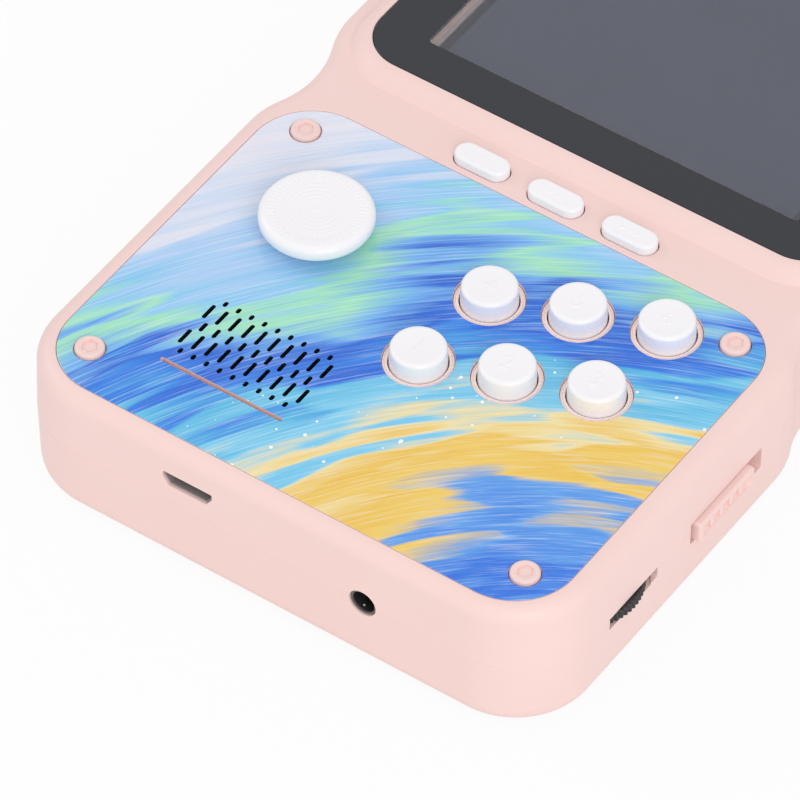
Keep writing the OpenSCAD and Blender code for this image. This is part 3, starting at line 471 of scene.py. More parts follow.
def painted_acrylic():
    """Watercolour ribbons under a gloss lacquer, in mm along and across the strokes.

    It gives the eye bright paint that stays matt, with the lamps mirrored sharply over it.
    """
    sweep_x, sweep_y, sweep_start, sweep_end = 70, -110, 88.0, 184.0
    # The box round the grille, inside which the slot sides are painted near-black as painted shade.
    slot_shade_half_w, slot_shade_half_l = 11.6, 7.3
    finish = bpy.data.materials.new("painted_print_under_gloss_lacquer")
    tree = blank(finish)
    place = add(tree, "ShaderNodeTexCoord", {}).outputs["Object"]
    # The strokes sweep round a point beyond the plate's lower right corner.
    run = add(tree, "ShaderNodeMapping", {"Vector": place, "Location": (-sweep_x, -sweep_y, 0),
              "Scale": (1 / MM, 1 / MM, 0)}).outputs["Vector"]
    split = add(tree, "ShaderNodeSeparateXYZ", {"Vector": run}).outputs
    reach = add(tree, "ShaderNodeVectorMath", {0: run}, operation="LENGTH").outputs["Value"]
    turn = add(tree, "ShaderNodeMath", {0: split["Y"], 1: split["X"]},
               operation="ARCTAN2").outputs[0]
    along = add(tree, "ShaderNodeMath", {0: turn, 1: 100.0}, operation="MULTIPLY").outputs[0]
    stroke = add(tree, "ShaderNodeCombineXYZ", {"X": along, "Y": reach}).outputs["Vector"]
    # They wander by some millimetres, their edges follow the bristles, and single dabs of the
    # brush pick up the colour next to theirs.
    sway = add(tree, "ShaderNodeTexNoise", {"Vector": run, "Scale": 0.024, "Detail": 2.0,
               "Roughness": 0.45}).outputs["Fac"]
    hair_run = add(tree, "ShaderNodeMapping", {"Vector": stroke, "Scale": (0.045, 0.9, 1)})
    hair = add(tree, "ShaderNodeTexNoise", {"Vector": hair_run.outputs["Vector"], "Scale": 1.0,
               "Detail": 7.0, "Roughness": 0.66, "Distortion": 0.3}).outputs["Fac"]
    dab_run = add(tree, "ShaderNodeMapping", {"Vector": stroke, "Scale": (0.05, 0.42, 1)})
    dabs = add(tree, "ShaderNodeTexVoronoi", {"Vector": dab_run.outputs["Vector"], "Scale": 1.0,
               "Smoothness": 0.35}, feature="SMOOTH_F1")
    dab = add(tree, "ShaderNodeSeparateColor", {"Color": dabs.outputs["Color"]}).outputs["Red"]
    swayed = add(tree, "ShaderNodeMath", {0: sway, 1: 44.0, 2: reach},
                 operation="MULTIPLY_ADD").outputs[0]
    ragged = add(tree, "ShaderNodeMath", {0: hair, 1: 13.0, 2: swayed},
                 operation="MULTIPLY_ADD").outputs[0]
    dabbed = add(tree, "ShaderNodeMath", {0: dab, 1: 12.0, 2: ragged},
                 operation="MULTIPLY_ADD").outputs[0]
    share = add(tree, "ShaderNodeMapRange", {"Value": dabbed, "From Min": sweep_start,
                "From Max": sweep_end}).outputs["Result"]
    ramp = add(tree, "ShaderNodeValToRGB", {"Fac": share})
    stops = [(0.0, "#2F78E4"), (0.1, "#5FA3EE"), (0.17, "#F3CF66"), (0.24, "#F0C552"),
             (0.3, "#F5E2A6"), (0.35, "#86D2F2"), (0.43, "#5CBEE8"), (0.5, "#2C83E7"),
             (0.55, "#1D66D8"), (0.61, "#6FB2F2"), (0.68, "#A6E9C4"), (0.74, "#8ECDF4"),
             (0.82, "#B2D2F7"), (0.9, "#DFE4F4"), (1.0, "#E9E7F2")]
    ramp.color_ramp.elements.remove(ramp.color_ramp.elements[1])
    ramp.color_ramp.elements[0].position = stops[0][0]
    ramp.color_ramp.elements[0].color = linear(stops[0][1])
    for position, colour in stops[1:]:
        ramp.color_ramp.elements.new(position).color = linear(colour)
    # A dry brush leaves pale streaks, and a wet one leaves lines of thicker paint.
    fine_run = add(tree, "ShaderNodeMapping", {"Vector": stroke, "Scale": (0.07, 3.0, 1),
                   "Location": (7, 3, 0)})
    fine = add(tree, "ShaderNodeTexNoise", {"Vector": fine_run.outputs["Vector"], "Scale": 1.0,
               "Detail": 5.0, "Roughness": 0.6}).outputs["Fac"]
    dry = add(tree, "ShaderNodeMapRange", {"Value": fine, "From Min": 0.52, "From Max": 0.74,
              "To Max": 0.5}).outputs["Result"]
    brushed = add(tree, "ShaderNodeMix", {0: dry, 6: ramp.outputs["Color"], 7: linear("#EEF5FC")},
                  data_type="RGBA").outputs[2]
    wet = add(tree, "ShaderNodeMapRange", {"Value": fine, "From Min": 0.47, "From Max": 0.28,
              "To Max": 0.35}).outputs["Result"]
    thick = add(tree, "ShaderNodeMix", {0: wet, 6: brushed, 7: ramp.outputs["Color"]},
                data_type="RGBA", blend_type="MULTIPLY").outputs[2]
    # White paint is flicked from the brush along one of the ribbons.
    specks = add(tree, "ShaderNodeTexVoronoi", {"Vector": run, "Scale": 0.8})
    chance = add(tree, "ShaderNodeSeparateColor",
                 {"Color": specks.outputs["Color"]}).outputs["Red"]
    size = add(tree, "ShaderNodeMapRange", {"Value": chance, "From Min": 0.45, "From Max": 1.0,
               "To Max": 0.26}).outputs["Result"]
    off = add(tree, "ShaderNodeMath", {0: share, 1: 0.36}, operation="SUBTRACT").outputs[0]
    away = add(tree, "ShaderNodeMath", {0: off}, operation="ABSOLUTE").outputs[0]
    near = add(tree, "ShaderNodeMapRange", {"Value": away, "From Min": 0.1, "From Max": 0.02})
    sized = add(tree, "ShaderNodeMath", {0: size, 1: near.outputs["Result"]},
                operation="MULTIPLY").outputs[0]
    fleck = add(tree, "ShaderNodeMath", {0: specks.outputs["Distance"], 1: sized},
                operation="LESS_THAN").outputs[0]
    painted = add(tree, "ShaderNodeMix", {0: fleck, 6: thick, 7: linear("#FFFFFF")},
                  data_type="RGBA").outputs[2]
    # The sawn sides are painted a darker pink, a painted view of the shaded casing through the
    # clear acrylic. Inside the grille the slot sides are painted near-black as painted shade.
    spot = add(tree, "ShaderNodeSeparateXYZ", {"Vector": add(tree, "ShaderNodeMapping", {
        "Vector": place, "Location": (-speaker.x, -speaker.y, 0),
        "Scale": (1 / MM, 1 / MM, 1 / MM)}).outputs["Vector"]}).outputs
    in_slot_shade = []
    for axis, half in (("X", slot_shade_half_w), ("Y", slot_shade_half_l)):
        far = add(tree, "ShaderNodeMath", {0: spot[axis]}, operation="ABSOLUTE").outputs[0]
        in_slot_shade.append(add(tree, "ShaderNodeMath", {0: far, 1: half},
                             operation="LESS_THAN").outputs[0])
    inside = add(tree, "ShaderNodeMath", {0: in_slot_shade[0], 1: in_slot_shade[1]},
                 operation="MULTIPLY").outputs[0]
    painted_sides_and_slot_shade = add(tree, "ShaderNodeMix", {0: inside, 6: linear("#E6C8C4"), 7: linear("#1B2426")},
               data_type="RGBA").outputs[2]
    facing = add(tree, "ShaderNodeSeparateXYZ", {
        "Vector": add(tree, "ShaderNodeNewGeometry", {}).outputs["True Normal"]}).outputs["Z"]
    side = add(tree, "ShaderNodeMath", {0: facing, 1: 0.5}, operation="LESS_THAN").outputs[0]
    whole = add(tree, "ShaderNodeMix", {0: side, 6: painted, 7: painted_sides_and_slot_shade}, data_type="RGBA").outputs[2]
    # Only the lacquer shines: the paint under it is matt.
    shader = add(tree, "ShaderNodeBsdfPrincipled", {"Base Color": whole, "Roughness": 0.6,
                 "Specular IOR Level": 0.0, "Coat Weight": 1.0, "Coat Roughness": 0.03,
                 "Coat IOR": 1.49})
    add(tree, "ShaderNodeOutputMaterial", {"Surface": shader.outputs["BSDF"]})
    return finish


plate_paint = painted_acrylic()
slot_tools = []
for y, count, length in grille_rows:
    tool = solid("grille_slot", rounded(slot_w, length, slot_w / 2, n=4),
                 mouth(seat_z - 1, deck_z, 0.05, 2))
    first = Vector((speaker.x - (count - 1) / 2 * slot_pitch, speaker.y + y, 0)) * MM
    grown(plate, grille, grille_sockets, {"Slot": tool, "Count": count, "Start": first,
          "Step": (slot_pitch * MM, 0, 0), "Material": plate_paint})
    slot_tools.append(tool)
applied(plate)
for tool in slot_tools:
    bpy.data.objects.remove(tool)
finished(plate, "console", plate_paint, ["control_plate"])

# Round keys
# Six white ABS caps, glossier than the casing, with a dished top, a rounded edge and a shallow
# numeral in relief. A flange under the deck keeps each one in.
cap_top, cap_edge, cap_draft, flange_z, flange_r = 25.8, 0.62, 0.06, 19.3, 5.28
dish_deep, dish_r, numeral_size, numeral_foot, numeral_high = 0.14, 3.4, 3.6, 0.16, 0.075
# A cool white with a small, fairly sharp highlight along each edge.
white_abs = moulded("polished_white_abs", "#F9F7F9", "#F6F4F7", 0.3, 0.6, 0.002)


def relief(text, size, place, z, height):
    """A raised numeral, as a mesh that starts below the surface at z."""
    curve = bpy.data.curves.new("numeral", "FONT")
    curve.body, curve.size = text, size * MM
    curve.align_x, curve.align_y = "CENTER", "CENTER"
    curve.extrude, curve.bevel_depth, curve.bevel_resolution = height * MM, 0.05 * MM, 2
    letter = placed("numeral", curve)
    seen = letter.evaluated_get(bpy.context.evaluated_depsgraph_get())
    mesh = bpy.data.meshes.new_from_object(seen)
    bpy.data.objects.remove(letter)
    mesh.transform(Matrix.Translation(Vector((place[0], place[1], z)) * MM))
    shape = bmesh.new()
    shape.from_mesh(mesh)
    bmesh.ops.remove_doubles(shape, verts=shape.verts, dist=1e-6)
    return from_bmesh("numeral", shape)


for number, (node, place) in enumerate(zip(key_nodes, key_places), 1):
    profile = [(0, flange_z + 2.2), (2.6, flange_z + 2.2), (2.6, flange_z), (flange_r, flange_z),
               (flange_r, flange_z + 1), (key_r, flange_z + 1), (key_r, deck_z),
               (key_r - cap_draft, cap_top - cap_edge)]
    profile += [(key_r - cap_draft - inset, z) for z, inset in soft_edge(cap_top, cap_edge)[1:]]
    profile += [(r, cap_top - dish_deep * (1 - (r / dish_r) ** 2))
                for r in (3.1, 2.6, 2.0, 1.3, 0.6, 0)]
    cap = turned(node + "_cap", profile, place)
    numeral = relief(str(number), numeral_size, place, cap_top - numeral_foot, numeral_high)
    cap = joined(node + "_cap", [cap, numeral])
    finished(cap, node, white_abs, [node])

# Menu keys
# Three low obround keys of the same white plastic in the deck between the plate and the screen.
# One, two or three raised dots tell them apart.
menu_top, menu_edge, menu_flange, dot_pitch = 24.4, 0.5, 0.8, 1.3
for number, (node, place) in enumerate(zip(menu_nodes, menu_places), 1):
    steps = [(flange_z, 0), (deck_z, 0)] + soft_edge(menu_top, menu_edge)
    steps += [(menu_top - 0.04, menu_edge + 0.5)]
    cap = solid(node + "_cap", rounded(menu_l, menu_w, menu_w / 2, place), steps)
    skirt = solid("skirt", rounded(menu_l + 2 * menu_flange, menu_w + 2 * menu_flange,
                  menu_w / 2 + menu_flange, place), [(flange_z, 0), (flange_z + 1, 0)])
    dots = [turned("dot", [(0, menu_top - 0.1), (0.36, menu_top - 0.1), (0.3, menu_top),
            (0.17, menu_top + 0.06), (0, menu_top + 0.08)],
            (place.x + (k - (number - 1) / 2) * dot_pitch, place.y), 24) for k in range(number)]
    finished(joined(node + "_cap", [cap, skirt] + dots), node, white_abs, [node])

# Thumb disc
# A white moulded disc that tips in every direction. Its rounded edge is serrated all round, and
# fine rings and a centre point give the thumb its grip.
disc_z, disc_t, disc_r, disc_edge = 25.0, 2.2, 8.2, 1.15
disc_top = disc_z + disc_t
profile = [(0, disc_z + 0.5), (3.2, disc_z + 0.5), (3.2, disc_z - 1.4), (4.2, disc_z - 1.4),
           (4.2, disc_z), (disc_r - 0.55, disc_z), (disc_r - 0.2, disc_z + 0.12),
           (disc_r - 0.04, disc_z + 0.4), (disc_r, disc_z + 0.75)]
profile += [(disc_r - inset, z) for z, inset in soft_edge(disc_top, disc_edge)[1:]]
ring_pitch, ring_out, ring_in, ring_high = 0.75, 4.9, 1.9, 0.05
dish, point_r, point_high, face_steps = 0.16, 0.45, 0.08, 64
rib_count, rib_circle_r, rib_size, rib_sunk = 60, 6.5, (1.6, 0.4, 0.17), 0.05
for k in range(face_steps):
    r = (disc_r - disc_edge) * (1 - (k + 1) / face_steps)
    ridge = ring_high * (1 + math.cos(math.tau * (r - ring_in) / ring_pitch)) / 2
    inside = ring_in < r < ring_out
    point = point_high * max(0, 1 - (r / point_r) ** 2)
    profile.append((r, disc_top - dish * (1 - (r / (disc_r - disc_edge)) ** 2)
                    + (ridge if inside else 0) + point))
disc = turned("thumb_disc_cap", profile, rocker, 192)

# The serration: one modifier sets low ribs in a circle, each pointing outwards.
serration, serration_sockets, rib_in = begun_tree("serration", {
    "Count": "Int", "Circle radius": "Float", "Centre": "Vector", "Rib size": "Vector",
    "Material": "Material"})
circle = add(serration, "GeometryNodeMeshCircle", {"Vertices": rib_in["Count"],
             "Radius": rib_in["Circle radius"]})
ball = add(serration, "GeometryNodeMeshUVSphere", {"Segments": 14, "Rings": 8, "Radius": 0.5})
rib = add(serration, "GeometryNodeTransform", {"Geometry": ball.outputs["Mesh"],
          "Scale": rib_in["Rib size"]})
outward = add(serration, "GeometryNodeInputPosition", {})
facing = add(serration, "FunctionNodeAlignRotationToVector", {"Vector": outward.outputs[0]},
             axis="X")
ribs = add(serration, "GeometryNodeInstanceOnPoints", {"Points": circle.outputs["Mesh"],
           "Instance": rib.outputs["Geometry"], "Rotation": facing.outputs["Rotation"]})
ribs_there = add(serration, "GeometryNodeTransform", {"Geometry": ribs.outputs["Instances"],
                 "Translation": rib_in["Centre"]})
with_ribs = add(serration, "GeometryNodeJoinGeometry", {"Geometry": ribs_there.outputs["Geometry"]})
serration.links.new(rib_in["Geometry"], with_ribs.inputs["Geometry"])
ended_tree(serration, with_ribs.outputs["Geometry"], rib_in["Material"])
grown(disc, serration, serration_sockets, {
      "Count": rib_count, "Circle radius": rib_circle_r * MM,
      "Centre": Vector((rocker.x, rocker.y, disc_top - rib_sunk)) * MM,
      "Rib size": Vector(rib_size) * MM, "Material": white_abs})
applied(disc)
finished(disc, "rocker", white_abs, ["thumb_disc"])

# Plate screws
# Four socket-head screws in the casing's pink, at the corners of the plate. Each has a shallow
# hexagon socket in a slightly sunk face.
head_top, head_r, head_edge, face_r, hexagon_r = 23.55, 2.12, 0.42, 1.5, 1.25
head_profile = [(0, screw_seat_z), (head_r, screw_seat_z)]
head_profile += [(head_r - inset, z) for z, inset in soft_edge(head_top, head_edge)]
head_profile += [(face_r, head_top), (face_r - 0.1, head_top - 0.07), (0, head_top - 0.07)]
screw = turned("plate_screw", head_profile, n=64)
carved(screw, [turned("hexagon", [(0, head_top - 0.36), (hexagon_r, head_top - 0.36),
               (hexagon_r, head_top + 1), (0, head_top + 1)], n=6)])
corners, corner_sockets, corner_in = begun_tree("screws_at_corners", {
    "Screw": "Object", "Material": "Material"})
one = add(corners, "GeometryNodeObjectInfo", {"Object": corner_in["Screw"]})
many = add(corners, "GeometryNodeInstanceOnPoints", {"Points": corner_in["Geometry"],
           "Instance": one.outputs["Geometry"]})
ended_tree(corners, many.outputs["Instances"], corner_in["Material"])
corner_mesh = bpy.data.meshes.new("plate_screw_heads")
corner_mesh.from_pydata([Vector((x, y, 0)) * MM for x, y in screw_places], [], [])
screw_heads = placed("plate_screw_heads", corner_mesh)
grown(screw_heads, corners, corner_sockets, {"Screw": screw, "Material": pink_abs})
applied(screw_heads)
bpy.data.objects.remove(screw)
finished(screw_heads, "console", pink_abs, ["plate_screws"])

# Window
# An acrylic window, flush in the rim: clear over the display, and backed with black ink all round.
# The clear part shows the display undimmed, under soft, slightly hazed mirror images.
clear = bpy.data.materials.new("clear_cast_acrylic")
tree = blank(clear)
place = add(tree, "ShaderNodeTexCoord", {}).outputs["Object"]
haze = add(tree, "ShaderNodeTexNoise", {"Vector": place, "Scale": 1 / (9 * MM), "Detail": 4.0})
haze_rough = add(tree, "ShaderNodeMapRange", {"Value": haze.outputs["Fac"], "To Min": 0.02,
                 "To Max": 0.07})
shader = add(tree, "ShaderNodeBsdfPrincipled", {"Base Color": linear("#FFFFFF"),
             "Roughness": haze_rough.outputs["Result"], "IOR": 1.49, "Transmission Weight": 1.0})
add(tree, "ShaderNodeOutputMaterial", {"Surface": shader.outputs["BSDF"]})
pane_gap, border_gap, border_edge = 0.02, 0.1, 0.15
pane = solid("window_pane", rounded(view_w - 2 * pane_gap, view_l - 2 * pane_gap,
             view_r - pane_gap, (0, view_y)), [(lens_low.z + 0.02, 0), (lens_high.z - 0.01, 0)])
finished(pane, "console", clear, ["window_lens"])
# Ink behind acrylic gives one deep, mirror-like black band.
black_backed = moulded("black_backed_acrylic", "#1F222A", "#1C1F27", 0.06, 0.5, 0.0, 1.49)
border = solid("window_border", rounded(window_w - 2 * border_gap, window_l - 2 * border_gap,
               window_r - border_gap, rim_mid, 24),
               [(lens_low.z, 0)] + soft_edge(lens_high.z, border_edge, turns=coarse_turns))
carved(border, [solid("view", rounded(view_w, view_l, view_r, (0, view_y)),
                [(lens_low.z - 1, 0), (lens_high.z + 1, 0)])])
finished(border, "console", black_backed)

# Display
# The module behind the window: a pale frame round a grey panel, whose ends stay dark. The frame is
# moulded, the panel is glass under a matt film.
bezel_t, panel_w, panel_l, panel_gap, panel_sunk, picture_half_w = 3, 60.8, 45.8, 0.1, 1.4, 29.06
# A dull, warm grey that reads as an edge of light round the dark panel.
pale_frame = moulded("pale_polycarbonate_frame", "#B4A9AF", "#AEA3A9", 0.5, 0.4, 0.004)
bezel = solid("display_bezel", rounded(display_w, display_l, 0.8, (0, view_y)),
              [(display_top - bezel_t, 0), (display_top, 0)])
carved(bezel, [solid("opening", rounded(panel_w + 2 * panel_gap, panel_l + 2 * panel_gap, 0.5,
               (0, view_y)), [(display_top - panel_sunk, 0), (display_top + 1, 0)])])
finished(bezel, "console", pale_frame, ["display_frame"])


def polariser():
    """The panel's polariser: an even matt grey that mirrors nothing, darker at both ends."""
    finish = bpy.data.materials.new("matt_polariser_film")
    tree = blank(finish)
    place = add(tree, "ShaderNodeTexCoord", {}).outputs["Object"]
    split = add(tree, "ShaderNodeSeparateXYZ", {"Vector": place}).outputs
    across = add(tree, "ShaderNodeMath", {0: split["X"]}, operation="ABSOLUTE").outputs[0]
    strip = add(tree, "ShaderNodeMath", {0: across, 1: picture_half_w * MM},
                operation="GREATER_THAN").outputs[0]
    cloud = add(tree, "ShaderNodeTexNoise", {"Vector": place, "Scale": 1 / (22 * MM),
                "Detail": 5.0, "Roughness": 0.55}).outputs["Fac"]
    grey = add(tree, "ShaderNodeMix", {0: cloud, 6: linear("#434B60"), 7: linear("#4D556A")},
               data_type="RGBA").outputs[2]
    tone = add(tree, "ShaderNodeMix", {0: strip, 6: grey, 7: linear("#2E3240")},
               data_type="RGBA").outputs[2]
    shader = add(tree, "ShaderNodeBsdfPrincipled", {"Base Color": tone, "Roughness": 0.5,
                 "Specular IOR Level": 0.0})
    add(tree, "ShaderNodeOutputMaterial", {"Surface": shader.outputs["BSDF"]})
    return finish


panel = solid("display_screen", rounded(panel_w, panel_l, 0.4, (0, view_y)),
              [(display_top - panel_sunk, 0), (display_top - 0.3, 0)])
finished(panel, "console", polariser(), ["display_panel"])

# Charging socket
# A folded sheet-metal shell behind the opening in the bottom end, with a black tongue that carries
# the contacts. The inside of the shell goes dark within a few millimetres.
usb_gap, usb_sheet, tongue_w, tongue_t, tongue_up = 0.05, 0.28, 4.8, 0.5, 0.35
# A warm grey metal, too dull to mirror anything.
tin_plate = moulded("dull_tin_plated_steel", "#A39C99", "#97908D", 0.6, 0.5, 0.003, metal=0.35)
# A near-black that stays soft in the light.
black_plastic = moulded("matt_black_abs", "#2A2829", "#232122", 0.5, 0.3, 0.006)
usb_shell = at_wall("usb_shell", lambda inset: usb_outline(inset + usb_gap),
                    [(-6.2, 0), (-0.5, 0), (-0.45, 0.05)], usb_mouth, to_bottom_end)
carved(usb_shell, [at_wall("usb_inside", lambda inset: usb_outline(inset + usb_gap + usb_sheet),
                   [(-5.6, 0), (-0.6, 0), (-0.4, -0.1), (0.5, -0.1)], usb_mouth,
                   to_bottom_end)])
finished(usb_shell, "console", tin_plate, ["usb_socket"])
tongue = at_wall("usb_tongue", rounded(tongue_w, tongue_t, 0.12, (0, tongue_up), 4),
                 [(-5.8, 0), (-1.3, 0), (-1.2, 0.1)], usb_mouth, to_bottom_end)
finished(tongue, "console", black_plastic)

# Audio jack
# The nose of a 3.5 mm socket fills its round hole: a grey-brown collar round a bore painted black
# as painted shade, with the tip's spring contact showing inside.
bore_r, nose_r, nose_back = 1.8, 2.1, -0.6
# A middling grey-brown with a low sheen, so that the ring shows against the bore's painted black
# shade.
jack_grey = moulded("grey_brown_nylon", "#6B6360", "#5F5855", 0.45, 0.3, 0.006)
# Small and bright: a single glint inside the bore.
nickel = moulded("bright_nickel_contact", "#CFCFD2", "#C3C3C7", 0.3, 0.4, 0.002, metal=1.0)
jack_axis = Matrix.Translation(Vector(jack_mouth) * MM) @ to_bottom_end
collar_ring = turned("jack_collar", [(nose_r, nose_back), (nose_r, -0.34), (nose_r - 0.05, -0.3),
                     (bore_r + 0.04, -0.3), (bore_r, -0.34), (bore_r, nose_back)], n=64,
                     place=jack_axis, closed=True)
finished(collar_ring, "console", jack_grey, ["audio_jack"])
# The bore is painted black: painted shade deep inside the socket.
painted_shade_bore = turned("jack_bore", [(0, -13), (3, -13), (3, -2.6), (nose_r - 0.05, -2.5),
              (nose_r - 0.05, nose_back), (bore_r, nose_back), (bore_r, -12.4), (0, -12.4)],
              n=64, place=jack_axis)
finished(painted_shade_bore, "console", black_plastic)
spring = at_wall("jack_contact", rounded(0.4, 0.4, 0.1, (-0.42, -1.62), 4),
                 [(-1.8, 0), (-1.1, 0), (-1.0, 0.1)], jack_mouth, to_bottom_end)
finished(spring, "console", nickel)

# Volume wheel
# A thumbwheel of black ABS, knurled all round. A sliver of it stands out of the right wall, where
# the thumb turns it.
wheel_crest, wheel_root, wheel_edge, teeth, tooth_steps = 8.8, 8.5, 0.2, 66, 6
rim_radii = []
for k in range(teeth * tooth_steps):
    swell = 0.5 + 0.5 * math.cos(math.tau * k / tooth_steps)
    rim_radii.append(wheel_root + (wheel_crest - wheel_root) * swell ** 0.7)


def wheel_ring(z, inset):
    """The knurled outline of the wheel at a height."""
    turns = [math.tau * k / len(rim_radii) for k in range(len(rim_radii))]
    return [(wheel.x + (r - inset) * math.cos(t), wheel.y + (r - inset) * math.sin(t), z)
            for r, t in zip(rim_radii, turns)]


wheel_piece = from_rings("knurled_wheel", [wheel_ring(z, inset) for z, inset in (
    (wheel_z0, wheel_edge), (wheel_z0 + wheel_edge, 0), (wheel_z1 - wheel_edge, 0),
    (wheel_z1, wheel_edge))])
finished(wheel_piece, "volume_wheel", black_plastic, ["volume_wheel"])

# Power knob
# A slide knob in the casing's pink. Its face has a raised frame round a shallow recess, and four
# blunt ribs stand in the recess for the thumb.
knob_proud, knob_edge, knob_frame, knob_root, guide_root, rib_w = 1.1, 0.4, 0.9, -2.4, -3.7, 1.0
knob_place = (side_x, knob.y, knob.z)
knob_cap = at_wall("knob_cap", rounded(knob_l, knob_h, 0.5, n=6),
                   [(knob_root, 0)] + soft_edge(knob_proud, knob_edge, turns=coarse_turns),
                   knob_place, to_right_side)
carved(knob_cap, [at_wall("recess", rounded(knob_l - 2 * knob_frame, knob_h - 1.5, 0.5, n=6),
                  [(knob_proud - 0.6, 0.3), (knob_proud - 0.45, 0.1), (knob_proud + 0.05, -0.1)],
                  knob_place, to_right_side)])
rib_pitch = (knob_l - 2 * knob_frame) / 5
knob_ribs = [at_wall("rib", rounded(rib_w, knob_h - 1.4, 0.48, ((k - 1.5) * rib_pitch, 0), 6),
             [(knob_proud - 0.8, 0), (knob_proud - 0.25, 0.05), (knob_proud - 0.12, 0.2),
              (knob_proud - 0.08, 0.35)], knob_place, to_right_side) for k in range(4)]
guide = at_wall("knob_guide", rounded(knob_l + 6, knob_h + 1.8, 0.3, n=4),
                [(guide_root, 0), (knob_root, 0)], knob_place, to_right_side)
# A fork on the guide's inner side takes the lever of the slide switch between its prongs.
lever, lever_half = middle("switch_lever"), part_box("switch_lever")[1].y / MM - knob.y
fork = [at_wall("fork", rounded(1.3, 1.8, 0.2, (side * (lever_half + 0.75), lever.z - knob.z), 4),
        [(-5.6, 0), (guide_root + 0.1, 0)], knob_place, to_right_side) for side in (-1, 1)]
finished(joined("knob_cap", [knob_cap, guide] + fork + knob_ribs), "power_slider", pink_abs,
         ["power_knob"])

# Inner parts and the battery cover
# The pads, boards, speaker, switches and battery that the casing hides, and the cover over the
# battery. Their meshes are the CAD's own, in the finishes that such parts are bought with.
# Milky and dull, with the low gloss of rubber.
silicone = moulded("translucent_silicone", "#D4D4CC", "#CBCBC2", 0.6, 0.5, 0.004, 1.41)
# Charcoal with open pores that swallow the light.
foam = moulded("closed_cell_foam", "#2E2E31", "#242427", 0.9, 0.5, 0.06)
# Amber and smooth.
flex = moulded("polyimide_film", "#B87A2E", "#A86C26", 0.35, 0.8, 0.002)
# Dark green with a satin, slightly wavy skin.
board = moulded("green_solder_resist", "#21603F", "#1C5538", 0.4, 0.6, 0.01)
# Cold, bright metal with soft mirror images.
steel = moulded("bright_rolled_steel", "#C4C4C8", "#B4B4B9", 0.28, 0.4, 0.003, metal=1.0)
# Pale gold metal.
gilt = moulded("gold_plated_bronze", "#D9B465", "#CCA653", 0.3, 0.4, 0.002, metal=1.0)
# Slate blue film with a satin sheen.
wrap = moulded("printed_battery_wrap", "#3C5078", "#35486D", 0.4, 0.8, 0.003)
slots = {"shell": pink_abs, "key": white_abs, "foam": foam, "flex": flex, "board": board,
         "black_plastic": black_plastic, "silicone": silicone, "steel": steel, "battery": wrap,
         "contact_brass": gilt}
carried = {
    "black_plastic": ["switch_lever", "volume_pot", "ribbon_connector", "board_chips", "speaker"],
    "silicone": ["key_pad", "menu_pad", "rocker_pad"],
    "foam": ["display_pads", "speaker_gasket"],
    "flex": ["display_ribbon"],
    "board": ["main_board"],
    "steel": ["rocker_ball", "power_switch", "case_screws"],
    "battery": ["battery"],
    "contact_brass": ["battery_contacts"],
    "key": ["rocker_base"],
    "shell": ["battery_cover"],
}
for slot_name, nodes in carried.items():
    for node in nodes:
        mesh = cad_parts[node].data
        mesh.materials.clear()
        mesh.materials.append(slots[slot_name])

# Camera
# It looks down at the controls from the lower right, at the photograph's angle.
azimuth, elevation = math.radians(34.875), math.radians(47.128)
distance = 1093.018
aim = Vector((4.297, -46.366, 23.0))
back = Vector((math.sin(azimuth) * math.cos(elevation), -math.cos(azimuth) * math.cos(elevation),
               math.sin(elevation)))
right = Vector((math.cos(azimuth), math.sin(azimuth), 0))
up = back.cross(right)
lens_data = bpy.data.cameras.new("camera")
lens_data.lens, lens_data.sensor_width = 362.06, 36.0
lens_data.clip_start, lens_data.clip_end = 0.01, 20.0
camera = placed("camera", lens_data)
camera.matrix_world = Matrix.Translation((aim + distance * back) * MM) @ Matrix(
    (right, up, back)).transposed().to_4x4()
bpy.context.scene.camera = camera

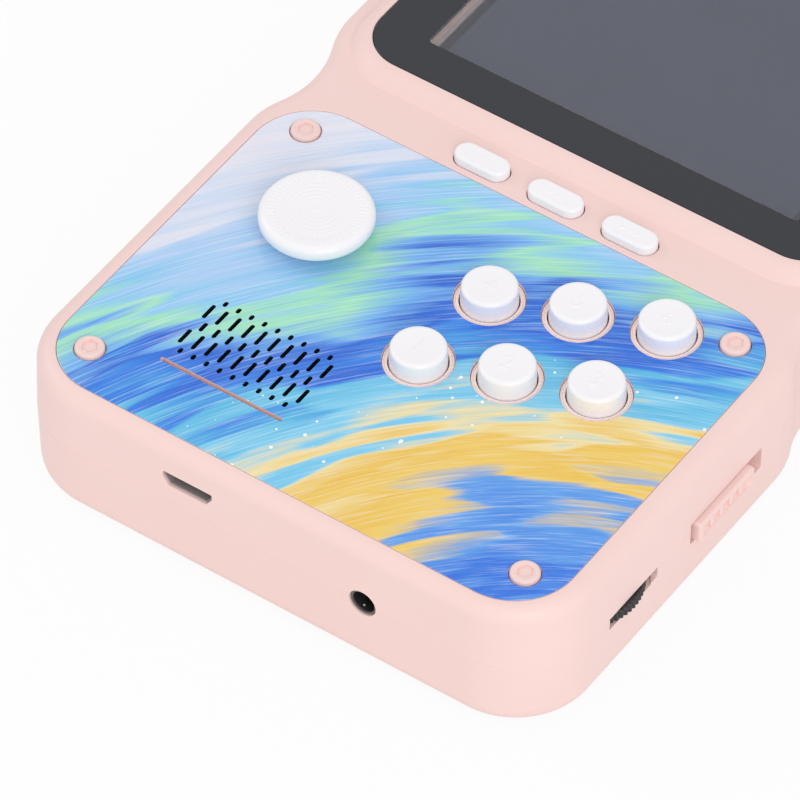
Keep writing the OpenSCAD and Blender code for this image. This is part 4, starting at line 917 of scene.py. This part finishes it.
# Floor and light
# A white table in a white room: the sky gives most of the light, and two large lamps shape it.
# The table lies a tenth of a millimetre below the flat back, so that the two faces don't flicker.
floor_z, floor_half, glow_share, room_light = -0.1 * MM, 3, 0.9, 0.76
floor_mesh = bpy.data.meshes.new("floor")
floor_mesh.from_pydata([(x * floor_half, y * floor_half, floor_z)
                        for x, y in ((-1, -1), (1, -1), (1, 1), (-1, 1))], [], [(0, 1, 2, 3)])
floor = placed("floor", floor_mesh)


def seen_by_eye(tree):
    """1 where the camera looks, also by way of gloss or glass, and 0 where light is gathered."""
    path = add(tree, "ShaderNodeLightPath", {}).outputs
    seen = path["Is Camera Ray"]
    for way in ("Is Glossy Ray", "Is Transmission Ray"):
        seen = add(tree, "ShaderNodeMath", {0: seen, 1: path[way]}, operation="MAXIMUM").outputs[0]
    return seen


# Matt and almost white: most of it glows evenly, and the rest keeps the console's shadow.
white_table = bpy.data.materials.new("white_table")
tree = blank(white_table)
part = add(tree, "ShaderNodeMath", {0: seen_by_eye(tree), 1: glow_share},
           operation="MULTIPLY").outputs[0]
cloth = add(tree, "ShaderNodeBsdfDiffuse", {"Color": linear("#F4F4F4")})
glow = add(tree, "ShaderNodeEmission", {"Color": linear("#FFFFFF"), "Strength": 1.0})
mixed = add(tree, "ShaderNodeMixShader", {0: part, 1: cloth.outputs[0], 2: glow.outputs[0]})
add(tree, "ShaderNodeOutputMaterial", {"Surface": mixed.outputs[0]})
floor_mesh.materials.append(white_table)

world = bpy.data.worlds.new("white_room")
tree = blank(world)
level = add(tree, "ShaderNodeMapRange", {"Value": seen_by_eye(tree), "To Min": room_light,
            "To Max": 1.0})
sky = add(tree, "ShaderNodeBackground", {"Color": linear("#FFFFFF"),
          "Strength": level.outputs["Result"]})
add(tree, "ShaderNodeOutputWorld", {"Surface": sky.outputs[0]})
bpy.context.scene.world = world

lit_point = Vector((0, 0, 0.02))
for name, place, size, power in (("side_lamp", (-1.15, -0.15, 0.85), 0.5, 2.0),
                                 ("main_lamp", (0.9, -0.8, 0.8), 0.9, 6.4)):
    lamp = bpy.data.lights.new(name, "AREA")
    lamp.size, lamp.energy = size, power
    facing = (Vector(place) - lit_point).to_track_quat("Z", "Y").to_matrix().to_4x4()
    placed(name, lamp).matrix_world = Matrix.Translation(place) @ facing

bpy.context.scene.view_settings.view_transform = "Standard"
